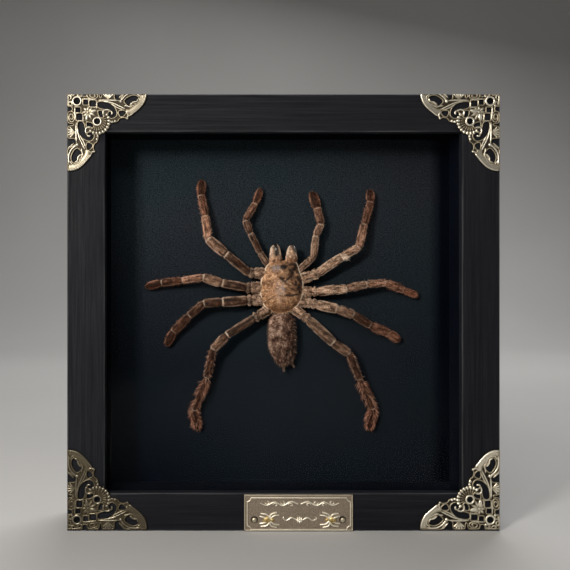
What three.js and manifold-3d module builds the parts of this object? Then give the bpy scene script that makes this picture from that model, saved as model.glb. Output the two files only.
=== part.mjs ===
// A framed tarantula specimen: a dried spider glued to a dark board inside a glazed black box frame.
// The frame is four mitred rails with a front lip. Behind the lip lie the glass, four liner strips that
// keep the glass off the specimen, the mounting board and the back panel, held in by framer's points.
// Openwork metal corners are glued to the front of the rails, a nameplate is pinned to the bottom rail,
// and a sawtooth hanger is nailed to the back of the top rail.
//
// Millimetres, +X right, +Y back, +Z up. The frame stands on its bottom rail at z = 0 and faces -Y.
// "Depth" is the distance behind the front face of the rails, and "height" is above the mounting board.

import * as THREE from "three";
import { mergeVertices } from "three/addons/utils/BufferGeometryUtils.js";
import Module from "manifold-3d";

const wasm = await Module();
wasm.setup();

// ---------------------------------------------------------------- driving dimensions
const FRAME_WIDTH = 220;
const FRAME_HEIGHT = 222;
const FRAME_DEPTH = 44;
const RAIL_WIDTH = 19.3; // across the front face
const LIP_DEPTH = 6; // the front lip that the glass rests against
const RABBET = 6; // how far the glass reaches behind the lip
const EDGE_CHAMFER = 0.5;
const MITRE_GAP = 0.05; // half the gap in a mitre joint

const GLASS_THICKNESS = 2;
const LINER_THICKNESS = 4;
const LINER_DEPTH = 24;
const BOARD_THICKNESS = 3;
const PANEL_THICKNESS = 3;
const LAYER_GAP = 0.1; // between one layer and the next
const FIT_GAP = 0.5; // between a layer's edge and the rabbet wall
const CUT_GAP = 0.3; // between a piece and the pocket or hole cut for it

const POINT = { width: 9, length: 15, inWood: 6, thickness: 0.5, chamfer: 2 }; // framer's points
const HANGER = { length: 46, height: 9, thickness: 0.8, rise: 2, foot: 8, fromTop: 2.5 };
const TOOTH = { count: 9, depth: 1.8 };
const NAIL = { headRadius: 1.9, headDepth: 0.7, shankRadius: 0.7, length: 7, pointLength: 1.2 };

const CORNER_THICKNESS = 1.2;
const EDGE_INSET = 0.3; // the corners stop this far inside the frame's outer edges
const BOTTOM_CORNERS_RISE = 0.7; // the bottom corners sit this far above the frame's bottom edge
const TOP_CORNERS_RISE = 1.5; // the top corners reach this far over the top edge, and are trimmed there
const NAMEPLATE = { width: 55.2, height: 18.5, thickness: 1.2, x: 7.6, z: 9.55 };
const PLATE_PIN = { x: 22.4, z: -3.6, headRadius: 1.4, headDepth: 0.8, shankRadius: 0.5, length: 6 };

const SPIDER = { x: 0.5, z: 122.5 }; // the middle of the carapace
const BODY_HEIGHT = 5.4; // the middle of the carapace and the abdomen above the board
const SPIDER_GAP = 0.3; // between one piece of the spider and the next
const LIMB_SIDES = 6;

// ---------------------------------------------------------------- worked-out places
const RABBET_WALL = RAIL_WIDTH - RABBET; // the rabbet wall's distance from the frame's outside
const GLASS_FRONT = LIP_DEPTH + LAYER_GAP;
const LINER_FRONT = GLASS_FRONT + GLASS_THICKNESS + LAYER_GAP;
const BOARD_FRONT = LINER_FRONT + LINER_DEPTH + LAYER_GAP;
const PANEL_FRONT = BOARD_FRONT + BOARD_THICKNESS + LAYER_GAP;
const POINT_FRONT = PANEL_FRONT + PANEL_THICKNESS + LAYER_GAP;
const LAYER_WIDTH = FRAME_WIDTH - 2 * (RABBET_WALL + FIT_GAP);
const LAYER_HEIGHT = FRAME_HEIGHT - 2 * (RABBET_WALL + FIT_GAP);
const MIDDLE = FRAME_HEIGHT / 2;
const FRONT_REACH = 2 * LAYER_GAP + NAMEPLATE.thickness + PLATE_PIN.headDepth; // in front of the rails
const BACK_REACH = LAYER_GAP + HANGER.rise + HANGER.thickness; // behind the rails
const ORIGIN_DEPTH = (FRAME_DEPTH + BACK_REACH - FRONT_REACH) / 2; // half way from front to back

// ---------------------------------------------------------------- materials
const finish = (color, roughness, metalness = 0) =>
  new THREE.MeshStandardMaterial({ color, roughness, metalness });
const BLACK_WOOD = finish(0x232326, 0.6);
const GLASS = finish(0xf4f8f6, 0.05);
const LINER_BLACK = finish(0x0b0c12, 0.85);
const BOARD_CHARCOAL = finish(0x22272b, 0.95);
const PANEL_BROWN = finish(0x8a6a48, 0.85);
const STEEL = finish(0xb4b7ba, 0.35, 1);
const ANTIQUE_BRONZE = finish(0x9c8d6a, 0.4, 1);
const CARAPACE_TAN = finish(0x9a7148, 0.7);
const LEG_BROWN = finish(0x7d5a46, 0.75);
const ABDOMEN_BROWN = finish(0x6b4f40, 0.9);

// ---------------------------------------------------------------- helpers
const part = new THREE.Group();

/** Adds a named mesh to the part, with its depth behind the frame's front face. */
function addPiece(name, geometry, material, x, depth, z, turn = 0) {
  const mesh = new THREE.Mesh(geometry, material);
  mesh.name = name;
  mesh.position.set(x, depth - ORIGIN_DEPTH, z);
  mesh.rotation.y = turn;
  part.add(mesh);
}

/** A closed geometry as a solid that can be cut and joined. */
function solid(geometry) {
  const bare = geometry.clone();
  bare.deleteAttribute("normal");
  bare.deleteAttribute("uv");
  const merged = mergeVertices(bare, 1e-4);
  return new wasm.Manifold(
    new wasm.Mesh({
      numProp: 3,
      vertProperties: new Float32Array(merged.attributes.position.array),
      triVerts: new Uint32Array(merged.index.array),
    }),
  );
}

/** A solid back as a geometry. */
function geometryOf(made) {
  const mesh = made.getMesh();
  const geometry = new THREE.BufferGeometry();
  geometry.setAttribute("position", new THREE.BufferAttribute(mesh.vertProperties, 3));
  geometry.setIndex(new THREE.BufferAttribute(mesh.triVerts, 1));
  return geometry;
}

const vectors = (points) => points.map(([x, y]) => new THREE.Vector2(x, y));
const outline = (points) => new THREE.Shape(vectors(points));
const lathe = (profile, sides) => new THREE.LatheGeometry(vectors(profile), sides);

/** A box given by its lowest corner and its size. */
function boxFrom([x, y, z], [width, depth, height]) {
  return new THREE.BoxGeometry(width, depth, height).translate(x + width / 2, y + depth / 2, z + height / 2);
}

/** A shape drawn in X and Z, made into a sheet that is `thickness` thick and starts at y = 0. */
function standingSheet(shape, thickness, curveSegments = 6) {
  const sheet = new THREE.ExtrudeGeometry(shape, { depth: thickness, bevelEnabled: false, curveSegments });
  return sheet.rotateX(Math.PI / 2).translate(0, thickness, 0);
}

// ---------------------------------------------------------------- rails
const RAIL_SECTION = outline([
  [0, EDGE_CHAMFER],
  [EDGE_CHAMFER, 0],
  [RAIL_WIDTH - EDGE_CHAMFER, 0],
  [RAIL_WIDTH, EDGE_CHAMFER],
  [RAIL_WIDTH, LIP_DEPTH],
  [RABBET_WALL, LIP_DEPTH],
  [RABBET_WALL, FRAME_DEPTH],
  [0, FRAME_DEPTH],
]);

/** One rail lying along X, its outside down at z = 0 and its front at y = 0, mitred at both ends. */
function plainRail(run) {
  const rail = new THREE.ExtrudeGeometry(RAIL_SECTION, { depth: 1, bevelEnabled: false });
  const at = rail.attributes.position;
  for (let i = 0; i < at.count; i++) {
    const across = at.getX(i);
    const halfRun = run / 2 - across - MITRE_GAP;
    const end = at.getZ(i) > 0.5 ? -1 : 1;
    at.setXYZ(i, end * halfRun, at.getY(i), across);
  }
  return solid(rail);
}

/** The pocket that a framer's point is driven into. */
function pointPocket(along) {
  const width = POINT.width + 2 * CUT_GAP;
  const thickness = POINT.thickness + 2 * CUT_GAP;
  const corner = [along - width / 2, POINT_FRONT - CUT_GAP, RABBET_WALL - POINT.inWood - CUT_GAP];
  return solid(boxFrom(corner, [width, thickness, POINT.inWood + 2 * CUT_GAP]));
}

/** A hole along Y for a nail or a pin. */
function nailHole(shankRadius, length) {
  return new THREE.CylinderGeometry(shankRadius + CUT_GAP, shankRadius + CUT_GAP, length, 8);
}

/** A rail with holes drilled from the front or the back, at the given distances along and across it. */
function drilled(rail, places, nail, faceDepth) {
  let made = rail;
  for (const [along, across] of places) {
    const hole = nailHole(nail.shankRadius, 2 * nail.length + 2 * CUT_GAP);
    made = made.subtract(solid(hole.translate(along, faceDepth, across)));
  }
  return made;
}

const pointPlaces = (run) => [-run / 4, run / 4];
const nailPlaces = [-1, 1].map((side) => (side * (HANGER.length - HANGER.foot)) / 2);
const pinPlaces = [-1, 1].map((side) => NAMEPLATE.x + side * PLATE_PIN.x);
const hangerMiddle = HANGER.fromTop + HANGER.height / 2; // below the frame's top edge

const RAILS = [
  { side: "bottom", run: FRAME_WIDTH, x: 0, z: 0, turn: 0 },
  { side: "top", run: FRAME_WIDTH, x: 0, z: FRAME_HEIGHT, turn: Math.PI },
  { side: "left", run: FRAME_HEIGHT, x: -FRAME_WIDTH / 2, z: MIDDLE, turn: Math.PI / 2 },
  { side: "right", run: FRAME_HEIGHT, x: FRAME_WIDTH / 2, z: MIDDLE, turn: -Math.PI / 2 },
];

for (const { side, run, x, z, turn } of RAILS) {
  let rail = plainRail(run);
  for (const along of pointPlaces(run)) {
    rail = rail.subtract(pointPocket(along));
  }
  if (side === "top") {
    rail = drilled(rail, nailPlaces.map((along) => [along, hangerMiddle]), NAIL, FRAME_DEPTH);
  }
  if (side === "bottom") {
    rail = drilled(rail, pinPlaces.map((along) => [along, NAMEPLATE.z + PLATE_PIN.z]), PLATE_PIN, 0);
  }
  addPiece(`rail_${side}`, geometryOf(rail), BLACK_WOOD, x, 0, z, turn);
}

// ---------------------------------------------------------------- layers in the rabbet
/** A sheet that fills the rabbet, with its front at the given depth. */
function addLayer(name, material, front, thickness) {
  const sheet = new THREE.BoxGeometry(LAYER_WIDTH, thickness, LAYER_HEIGHT);
  addPiece(name, sheet, material, 0, front + thickness / 2, MIDDLE);
}
addLayer("glass_pane", GLASS, GLASS_FRONT, GLASS_THICKNESS);
addLayer("mounting_board", BOARD_CHARCOAL, BOARD_FRONT, BOARD_THICKNESS);
addLayer("back_panel", PANEL_BROWN, PANEL_FRONT, PANEL_THICKNESS);

// The top and bottom liner strips run full width, and the side ones stand between them.
const LINER_RUN = LAYER_HEIGHT - 2 * (LINER_THICKNESS + LAYER_GAP);
const LINER_X = (LAYER_WIDTH - LINER_THICKNESS) / 2;
const LINER_Z = (LAYER_HEIGHT - LINER_THICKNESS) / 2;
const LINERS = [
  { side: "top", size: [LAYER_WIDTH, LINER_THICKNESS], x: 0, z: MIDDLE + LINER_Z },
  { side: "bottom", size: [LAYER_WIDTH, LINER_THICKNESS], x: 0, z: MIDDLE - LINER_Z },
  { side: "left", size: [LINER_THICKNESS, LINER_RUN], x: -LINER_X, z: MIDDLE },
  { side: "right", size: [LINER_THICKNESS, LINER_RUN], x: LINER_X, z: MIDDLE },
];
for (const { side, size, x, z } of LINERS) {
  const strip = new THREE.BoxGeometry(size[0], LINER_DEPTH, size[1]);
  addPiece(`liner_${side}`, strip, LINER_BLACK, x, LINER_FRONT + LINER_DEPTH / 2, z);
}

// ---------------------------------------------------------------- framer's points
/** A flat steel tongue with an arrow end in the wood, z = 0 at the rabbet wall and +z over the panel. */
function framersPoint() {
  const half = POINT.width / 2;
  const end = POINT.length - POINT.inWood;
  const tongue = outline([
    [0, -POINT.inWood],
    [half, -POINT.inWood / 2],
    [half, end - POINT.chamfer],
    [half - POINT.chamfer, end],
    [POINT.chamfer - half, end],
    [-half, end - POINT.chamfer],
    [-half, -POINT.inWood / 2],
  ]);
  return standingSheet(tongue, POINT.thickness);
}

for (const { side, run, x, z, turn } of RAILS) {
  pointPlaces(run).forEach((along, i) => {
    const point = framersPoint().translate(along, POINT_FRONT, RABBET_WALL);
    addPiece(`framers_point_${side}_${i + 1}`, point, STEEL, x, 0, z, turn);
  });
}

// ---------------------------------------------------------------- sawtooth hanger
/** A strip whose feet lie on the wood and whose raised middle has teeth along its lower edge. */
function sawtoothHanger() {
  const half = HANGER.length / 2;
  const foot = half - HANGER.foot;
  const bridge = foot - HANGER.rise;
  const t = HANGER.thickness;
  const strip = outline([
    [-half, 0],
    [-foot, 0],
    [-bridge, HANGER.rise],
    [bridge, HANGER.rise],
    [foot, 0],
    [half, 0],
    [half, t],
    [foot + t / 2, t],
    [bridge + t / 2, HANGER.rise + t],
    [-bridge - t / 2, HANGER.rise + t],
    [-foot - t / 2, t],
    [-half, t],
  ]);
  const bent = new THREE.ExtrudeGeometry(strip, { depth: HANGER.height, bevelEnabled: false });
  let hanger = solid(bent.translate(0, 0, -HANGER.height / 2));
  const pitch = (2 * bridge) / (TOOTH.count + 1);
  for (let i = 0; i < TOOTH.count; i++) {
    const notch = outline([
      [-pitch * 0.45, -TOOTH.depth],
      [pitch * 0.45, -TOOTH.depth],
      [0, TOOTH.depth],
    ]);
    const along = (i - (TOOTH.count - 1) / 2) * pitch;
    const cutter = standingSheet(notch, 2 * BACK_REACH).translate(along, 0, -HANGER.height / 2);
    hanger = hanger.subtract(solid(cutter));
  }
  for (const along of nailPlaces) {
    hanger = hanger.subtract(solid(nailHole(NAIL.shankRadius, 4 * t).translate(along, 0, 0)));
  }
  return geometryOf(hanger);
}

/** A nail driven towards -Y, its head just clear of the hanger's foot. */
function hangerNail() {
  const head = HANGER.thickness + LAYER_GAP;
  const profile = [
    [0, -NAIL.length],
    [NAIL.shankRadius, NAIL.pointLength - NAIL.length],
    [NAIL.shankRadius, head],
    [NAIL.headRadius, head],
    [NAIL.headRadius, head + NAIL.headDepth / 2],
    [NAIL.headRadius / 2, head + NAIL.headDepth],
    [0, head + NAIL.headDepth],
  ];
  return lathe(profile, 8);
}

const hangerDepth = FRAME_DEPTH + LAYER_GAP;
const hangerZ = FRAME_HEIGHT - hangerMiddle;
addPiece("sawtooth_hanger", sawtoothHanger(), STEEL, 0, hangerDepth, hangerZ);
addPiece("hanger_nail_left", hangerNail(), STEEL, nailPlaces[0], hangerDepth, hangerZ);
addPiece("hanger_nail_right", hangerNail(), STEEL, nailPlaces[1], hangerDepth, hangerZ);

// ---------------------------------------------------------------- openwork corners
// The pattern is symmetric about its diagonal. Its axes run along the frame's two edges from the frame's
// corner. Half of the outline is listed, from the frame's corner to the shell on the diagonal.
const HALF_OUTLINE = [
  [7.9, EDGE_INSET],
  [8.6, 2.4],
  [10.2, 2.4],
  [11.2, EDGE_INSET],
  [15.9, EDGE_INSET],
  [17.2, 3.2],
  [18.3, EDGE_INSET],
  [23.7, EDGE_INSET],
  [24.7, 3.8],
  [26.5, 4.6],
  [29.7, EDGE_INSET],
  [40.5, EDGE_INSET],
  [40.3, 4.6],
  [38.9, 7.3],
  [36.1, 9.9],
  [31.9, 13.0],
  [30.6, 14.7],
  [29.2, 13.9],
  [27.2, 14.3],
  [26.0, 15.7],
  [22.5, 16.4],
];
const SHELL = { middle: 15.5, radius: 7.2, from: 0.16, steps: 6, hole: 1.6 };
const NAIL_RING = { middle: 5.2, hole: 1.6 };
// Each of these holes has a twin across the diagonal.
const HALF_HOLES = {
  smallLattice: [[8.5, 4.7], [10.7, 4.5], [10.8, 6.7], [8.5, 6.8]],
  largeLattice: [[11.9, 5.3], [14.6, 5.1], [14.5, 7.9], [11.9, 7.6]],
  scroll: [
    [16.1, 5.9],
    [19.7, 5.9],
    [22.3, 6.8],
    [24.3, 8.8],
    [25.2, 11.1],
    [24.4, 13.2],
    [22.6, 13.8],
    [21.0, 12.2],
    [22.4, 10.3],
    [19.7, 9.3],
    [16.2, 8.3],
  ],
  besideShell: [[16.2, 10.3], [18.4, 10.8], [18.5, 13.1], [16.8, 13.0]],
  besideStem: [[26.5, 10.5], [29.9, 10.6], [29.1, 12.4], [27.3, 12.9]],
  tip: [[29.6, 5.2], [31.2, 3.4], [33.8, 2.4], [36.1, 3.1], [36.7, 4.8], [33.8, 6.1], [31.6, 7.4]],
};
const swapped = ([along, across]) => [across, along];

/**
 * The corner's sheet for the frame's bottom left corner, its back at y = 0 and the frame's corner at 0.
 * The pattern is slid along X and Z, and what then reaches past the frame's edges is trimmed off.
 */
function openworkCorner(slideX, slideZ) {
  const shell = [];
  for (let i = 0; i <= SHELL.steps; i++) {
    const angle = SHELL.from + (i / SHELL.steps) * (Math.PI / 2 - 2 * SHELL.from);
    shell.push([Math.cos(angle), Math.sin(angle)].map((reach) => SHELL.middle + SHELL.radius * reach));
  }
  const secondHalf = HALF_OUTLINE.map(swapped).reverse();
  const sheet = outline([[EDGE_INSET, EDGE_INSET], ...HALF_OUTLINE, ...shell, ...secondHalf]);
  for (const { middle, hole } of [SHELL, NAIL_RING]) {
    sheet.holes.push(new THREE.Path().absarc(middle, middle, hole, 0, 2 * Math.PI, true));
  }
  for (const hole of Object.values(HALF_HOLES)) {
    sheet.holes.push(new THREE.Path(vectors(hole)), new THREE.Path(vectors(hole.map(swapped))));
  }
  const slid = standingSheet(sheet, CORNER_THICKNESS, 4).translate(slideX, -CORNER_THICKNESS, slideZ);
  const frontOfRails = boxFrom([EDGE_INSET, -5, EDGE_INSET], [60, 10, 60]);
  return geometryOf(solid(slid).intersect(solid(frontOfRails)));
}

const CORNERS = [
  { place: "bottom_left", sideways: -1, z: 0, turn: 0, slide: [0, BOTTOM_CORNERS_RISE] },
  { place: "bottom_right", sideways: 1, z: 0, turn: -Math.PI / 2, slide: [BOTTOM_CORNERS_RISE, 0] },
  { place: "top_right", sideways: 1, z: FRAME_HEIGHT, turn: Math.PI, slide: [0, -TOP_CORNERS_RISE] },
  { place: "top_left", sideways: -1, z: FRAME_HEIGHT, turn: Math.PI / 2, slide: [-TOP_CORNERS_RISE, 0] },
];
for (const { place, sideways, z, turn, slide } of CORNERS) {
  const x = (sideways * FRAME_WIDTH) / 2;
  addPiece(`corner_${place}`, openworkCorner(...slide), ANTIQUE_BRONZE, x, -LAYER_GAP, z, turn);
}

// ---------------------------------------------------------------- nameplate and its pins
function nameplate() {
  const { width, height, thickness } = NAMEPLATE;
  const sheet = outline([
    [-width / 2, -height / 2],
    [width / 2, -height / 2],
    [width / 2, height / 2],
    [-width / 2, height / 2],
  ]);
  const holeRadius = PLATE_PIN.shankRadius + CUT_GAP;
  for (const x of [-PLATE_PIN.x, PLATE_PIN.x]) {
    sheet.holes.push(new THREE.Path().absarc(x, PLATE_PIN.z, holeRadius, 0, 2 * Math.PI, true));
  }
  return standingSheet(sheet, thickness).translate(0, -thickness, 0);
}
addPiece("nameplate", nameplate(), ANTIQUE_BRONZE, NAMEPLATE.x, -LAYER_GAP, NAMEPLATE.z);

/** A pin driven towards +Y, with a domed head whose underside is at y = 0. */
function platePin() {
  const { headRadius, headDepth, shankRadius, length } = PLATE_PIN;
  const profile = [
    [0, -headDepth],
    [headRadius * 0.6, -headDepth * 0.8],
    [headRadius, -headDepth * 0.2],
    [headRadius, 0],
    [shankRadius, 0],
    [shankRadius, length - 1],
    [0, length],
  ];
  return lathe(profile, 8);
}
const pinHeadDepth = -2 * LAYER_GAP - NAMEPLATE.thickness;
const pinZ = NAMEPLATE.z + PLATE_PIN.z;
addPiece("nameplate_pin_left", platePin(), ANTIQUE_BRONZE, pinPlaces[0], pinHeadDepth, pinZ);
addPiece("nameplate_pin_right", platePin(), ANTIQUE_BRONZE, pinPlaces[1], pinHeadDepth, pinZ);

// ---------------------------------------------------------------- spider
// The spider's pieces are modelled about the middle of the carapace on the board's front: X right,
// Z towards the head, and -Y away from the board, so that a height above the board is -Y.
function addSpiderPiece(name, made, material) {
  addPiece(name, geometryOf(made), material, SPIDER.x, BOARD_FRONT, SPIDER.z);
}

/** A body of revolution about Z, squashed towards the board. The profile lists [radius, z]. */
function squashed(profile, sides, flatness, x, height) {
  const round = lathe(profile, sides).rotateX(Math.PI / 2).scale(1, flatness, 1);
  return round.translate(x, -height, 0);
}

const CARAPACE_PROFILE = [
  [0, -12.4],
  [4.5, -12.0],
  [8.2, -10.2],
  [10.6, -6.6],
  [11.5, -1.5],
  [11.2, 3.4],
  [9.6, 9.0],
  [7.8, 13.4],
  [6.4, 14.6],
  [0, 14.8],
];
const CARAPACE_FLATNESS = 0.42;

/** The head and chest with the carapace, grown by `extra` all round. */
function carapace(extra = 0) {
  const grown = CARAPACE_PROFILE.map(([radius, z]) => [
    radius === 0 ? 0 : radius + extra,
    z + extra * Math.sign(z),
  ]);
  return solid(squashed(grown, 16, CARAPACE_FLATNESS + extra / 24, 0, BODY_HEIGHT));
}
const BODY_CLEARANCE = carapace(SPIDER_GAP);
addSpiderPiece("cephalothorax", carapace(), CARAPACE_TAN);

// The abdomen with its short narrow stalk, the pedicel, at the front.
const ABDOMEN_FLATNESS = 0.62;
const ABDOMEN_PROFILE = [
  [0, -43.4],
  [2.4, -42.6],
  [5.2, -39.4],
  [6.9, -34.0],
  [7.6, -25.0],
  [7.2, -19.0],
  [5.6, -15.2],
  [2.0, -14.2],
  [1.8, -12.0],
  [0, -12.0],
];
const abdomen = solid(squashed(ABDOMEN_PROFILE, 12, ABDOMEN_FLATNESS, 0.4, BODY_HEIGHT));
addSpiderPiece("abdomen", abdomen.subtract(BODY_CLEARANCE), ABDOMEN_BROWN);

// The two chelicerae, the jaws in front of the carapace.
const CHELICERA_PROFILE = [
  [0, 11.8],
  [2.6, 12.4],
  [3.2, 16.0],
  [3.1, 21.0],
  [2.3, 23.8],
  [0, 24.8],
];
for (const [side, x] of [["left", -3.4], ["right", 5.2]]) {
  const jaw = solid(squashed(CHELICERA_PROFILE, 10, 1.15, x, BODY_HEIGHT));
  addSpiderPiece(`chelicera_${side}`, jaw.subtract(BODY_CLEARANCE), CARAPACE_TAN);
}

/** One segment of a limb between two joints, rounded over at both ends. */
function segment(from, to, radius) {
  const length = from.distanceTo(to);
  const profile = [
    [0, -0.35 * radius],
    [0.78 * radius, 0],
    [radius, 0.35 * length],
    [0.78 * radius, length],
    [0, length + 0.3 * radius],
  ];
  const towards = to.clone().sub(from).normalize();
  const turn = new THREE.Quaternion().setFromUnitVectors(new THREE.Vector3(0, 1, 0), towards);
  return solid(lathe(profile, LIMB_SIDES).applyQuaternion(turn).translate(from.x, from.y, from.z));
}

/** A limb through joints given as [x, z, height], with a radius for each segment between them. */
function limb(joints, radii) {
  const at = joints.map(([x, z, height]) => new THREE.Vector3(x, -height, z));
  let made = segment(at[0], at[1], radii[0]);
  for (let i = 1; i < radii.length; i++) {
    made = made.add(segment(at[i], at[i + 1], radii[i]));
  }
  return made.subtract(BODY_CLEARANCE);
}

// Coxa, trochanter, femur, patella, tibia, metatarsus and tarsus of a leg. A pedipalp has five segments
// past its base, and no metatarsus.
const LEG_RADII = [2.2, 2.2, 2.4, 2.6, 2.3, 2.1, 2.2];
const REAR_LEG_RADII = [2.3, 2.3, 2.5, 2.6, 2.3, 2.3, 2.3];
const PEDIPALP_RADII = [1.9, 1.9, 2.0, 2.1, 2.2];
const PEDIPALPS = {
  left: [
    [-6.8, 12.6, 5.4],
    [-11.6, 19.9, 6],
    [-16.8, 30.4, 7],
    [-19.5, 37.4, 6.4],
    [-14.1, 46.5, 4.4],
    [-11.1, 55.0, 2.6],
  ],
  right: [
    [9.4, 10.6, 5.4],
    [17.2, 17.5, 6],
    [18.4, 29.1, 7],
    [21.1, 35.3, 6.4],
    [19.2, 44.1, 4.4],
    [16.6, 53.0, 2.6],
  ],
};
for (const [side, joints] of Object.entries(PEDIPALPS)) {
  addSpiderPiece(`pedipalp_${side}`, limb(joints, PEDIPALP_RADII), LEG_BROWN);
}

const LEGS = {
  leg_1_left: [
    [-9.0, 8.6, 5.4],
    [-15.0, 9.2, 6],
    [-17.6, 9.0, 6.5],
    [-30.1, 19.2, 9],
    [-39.5, 27.3, 9],
    [-41.1, 39.7, 6.5],
    [-43.5, 51.1, 4],
    [-43.1, 59.4, 2.7],
  ],
  leg_2_left: [
    [-10.4, 1.2, 5.4],
    [-16.8, 1.0, 6],
    [-19.1, 1.1, 6.5],
    [-32.2, 3.7, 8.5],
    [-42.4, 6.6, 8.5],
    [-53.5, 5.0, 6],
    [-65.1, 3.7, 4],
    [-73.6, 1.6, 2.7],
  ],
  leg_3_left: [
    [-10.0, -5.6, 5.4],
    [-16.0, -5.7, 6],
    [-18.6, -5.9, 6.5],
    [-32.2, -6.6, 8.5],
    [-42.0, -7.4, 8],
    [-49.9, -14.2, 6],
    [-58.5, -22.8, 4],
    [-62.3, -30.4, 2.7],
  ],
  leg_4_left: [
    [-6.6, -10.4, 5.4],
    [-12.3, -14.2, 6],
    [-14.8, -15.3, 6.5],
    [-29.7, -24.5, 9],
    [-36.9, -32.1, 9],
    [-40.3, -47.7, 6.5],
    [-47.6, -65.4, 4],
    [-45.4, -75.8, 2.7],
  ],
  leg_1_right: [
    [10.0, 5.6, 5.4],
    [16.4, 7.6, 6],
    [19.5, 8.8, 6.5],
    [32.6, 17.9, 9],
    [41.2, 22.7, 9],
    [44.5, 35.3, 6.5],
    [48.2, 47.6, 4],
    [47.9, 54.0, 2.7],
  ],
  leg_2_right: [
    [10.6, -0.8, 5.4],
    [16.6, -1.2, 6],
    [19.1, -1.1, 6.5],
    [35.0, 0.7, 8.5],
    [45.6, 3.1, 8.5],
    [56.1, 3.6, 6],
    [66.1, -0.3, 4],
    [74.2, -3.4, 2.7],
  ],
  leg_3_right: [
    [9.6, -6.6, 5.4],
    [16.0, -7.2, 6],
    [18.5, -7.8, 6.5],
    [29.7, -10.3, 8.5],
    [38.6, -13.5, 8],
    [47.8, -19.3, 6],
    [58.4, -23.8, 4],
    [64.2, -27.6, 2.7],
  ],
  leg_4_right: [
    [6.0, -9.8, 5.4],
    [12.1, -14.2, 6],
    [14.2, -16.2, 6.5],
    [27.8, -28.6, 9],
    [36.0, -34.3, 9],
    [42.0, -48.5, 6.5],
    [49.4, -64.8, 4],
    [47.3, -75.6, 2.7],
  ],
};
for (const [name, joints] of Object.entries(LEGS)) {
  const radii = name.startsWith("leg_4") ? REAR_LEG_RADII : LEG_RADII;
  addSpiderPiece(name, limb(joints, radii), LEG_BROWN);
}

export default part;
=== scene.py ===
"""The looks of a framed tarantula specimen: a dried spider on a dark board in a glazed black box frame.

Shapes are worked out in millimetres in the row frame (+X right, +Y into the frame, +Z up) and become
metres when a mesh is made. "Height" is the distance in front of the mounting board.
"""

import math

import bmesh
import bpy
import numpy as np
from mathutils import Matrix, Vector, noise


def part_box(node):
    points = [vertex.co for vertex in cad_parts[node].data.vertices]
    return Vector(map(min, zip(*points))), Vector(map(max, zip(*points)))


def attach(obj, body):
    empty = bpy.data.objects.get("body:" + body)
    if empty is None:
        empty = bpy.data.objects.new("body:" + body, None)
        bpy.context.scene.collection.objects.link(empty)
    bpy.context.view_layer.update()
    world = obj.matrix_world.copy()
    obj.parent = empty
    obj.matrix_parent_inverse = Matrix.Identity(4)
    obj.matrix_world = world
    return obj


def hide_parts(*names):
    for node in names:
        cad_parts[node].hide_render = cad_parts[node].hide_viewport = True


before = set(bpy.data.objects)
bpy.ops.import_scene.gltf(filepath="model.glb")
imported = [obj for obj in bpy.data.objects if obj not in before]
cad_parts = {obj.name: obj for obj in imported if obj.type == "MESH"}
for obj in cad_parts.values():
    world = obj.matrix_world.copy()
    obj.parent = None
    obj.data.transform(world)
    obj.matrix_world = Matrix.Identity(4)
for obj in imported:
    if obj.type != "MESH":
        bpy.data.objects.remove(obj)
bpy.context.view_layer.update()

MM = 0.001
SEED = 7
rng = np.random.default_rng(SEED)


def box_mm(node):
    """A CAD node's lowest and highest corners in millimetres."""
    return tuple(np.array(corner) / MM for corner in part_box(node))


# ---------------------------------------------------------------- places taken from the frame
RAILS_LOW, RAILS_HIGH = box_mm("rail_bottom")
FRONT_Y = RAILS_LOW[1]
BACK_Y = RAILS_HIGH[1]
RAIL_WIDTH = RAILS_HIGH[2]
FRAME_WIDTH = 220.0
FRAME_HEIGHT = box_mm("rail_top")[1][2]
BOARD_Y = box_mm("mounting_board")[0][1]

# ---------------------------------------------------------------- camera and light
CAMERA_DISTANCE = 430.0  # from the front of the rails
CAMERA_PLACE = (-25.0, FRONT_Y - CAMERA_DISTANCE, 125.0)
FIELD_AT_FRONT = 289.6  # how much of the rails' front plane fits across the picture
SENSOR = 36.0
SIDEWAYS_SHIFT = 0.089  # the picture's middle is to the right of the camera


def make_camera():
    """A level camera in front of the frame, which looks straight at it."""
    data = bpy.data.cameras.new("camera")
    data.sensor_width = SENSOR
    data.lens = SENSOR * CAMERA_DISTANCE / FIELD_AT_FRONT
    data.shift_x = SIDEWAYS_SHIFT
    data.clip_start = 0.01
    camera = bpy.data.objects.new("camera", data)
    camera.location = Vector(CAMERA_PLACE) * MM
    camera.rotation_euler = (math.pi / 2, 0, 0)
    bpy.context.scene.collection.objects.link(camera)
    bpy.context.scene.camera = camera


def make_lamp(name, place, target, size, power, colour=(1, 1, 1)):
    """A square area lamp at a place in millimetres, turned towards the target."""
    data = bpy.data.lights.new(name, "AREA")
    data.energy = power
    data.size = size * MM
    data.color = colour
    lamp = bpy.data.objects.new(name, data)
    lamp.location = Vector(place) * MM
    lamp.rotation_euler = (Vector(target) - Vector(place)).to_track_quat("-Z", "Y").to_euler()
    bpy.context.scene.collection.objects.link(lamp)


def make_light():
    """The key at the front left, softer lamps above and at the right, one for the backdrop and a dim sky."""
    middle = (0, 0, 115)
    make_lamp("key", (-330, -560, 320), middle, 120, 3.9, (1.0, 0.965, 0.92))
    make_lamp("top", (-120, -700, 590), middle, 260, 1.7, (1.0, 0.98, 0.96))
    make_lamp("fill", (950, -900, 560), middle, 500, 1.1, (0.92, 0.96, 1.0))
    make_lamp("back", (250, 900, 1300), (0, 300, 60), 900, 16.0)
    world = bpy.data.worlds.new("studio")
    world.use_nodes = True
    world.node_tree.nodes["Background"].inputs["Color"].default_value = (0.9, 0.95, 1.0, 1)
    world.node_tree.nodes["Background"].inputs["Strength"].default_value = 0.02
    bpy.context.scene.world = world
    bpy.context.scene.view_settings.view_transform = "Standard"


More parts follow.
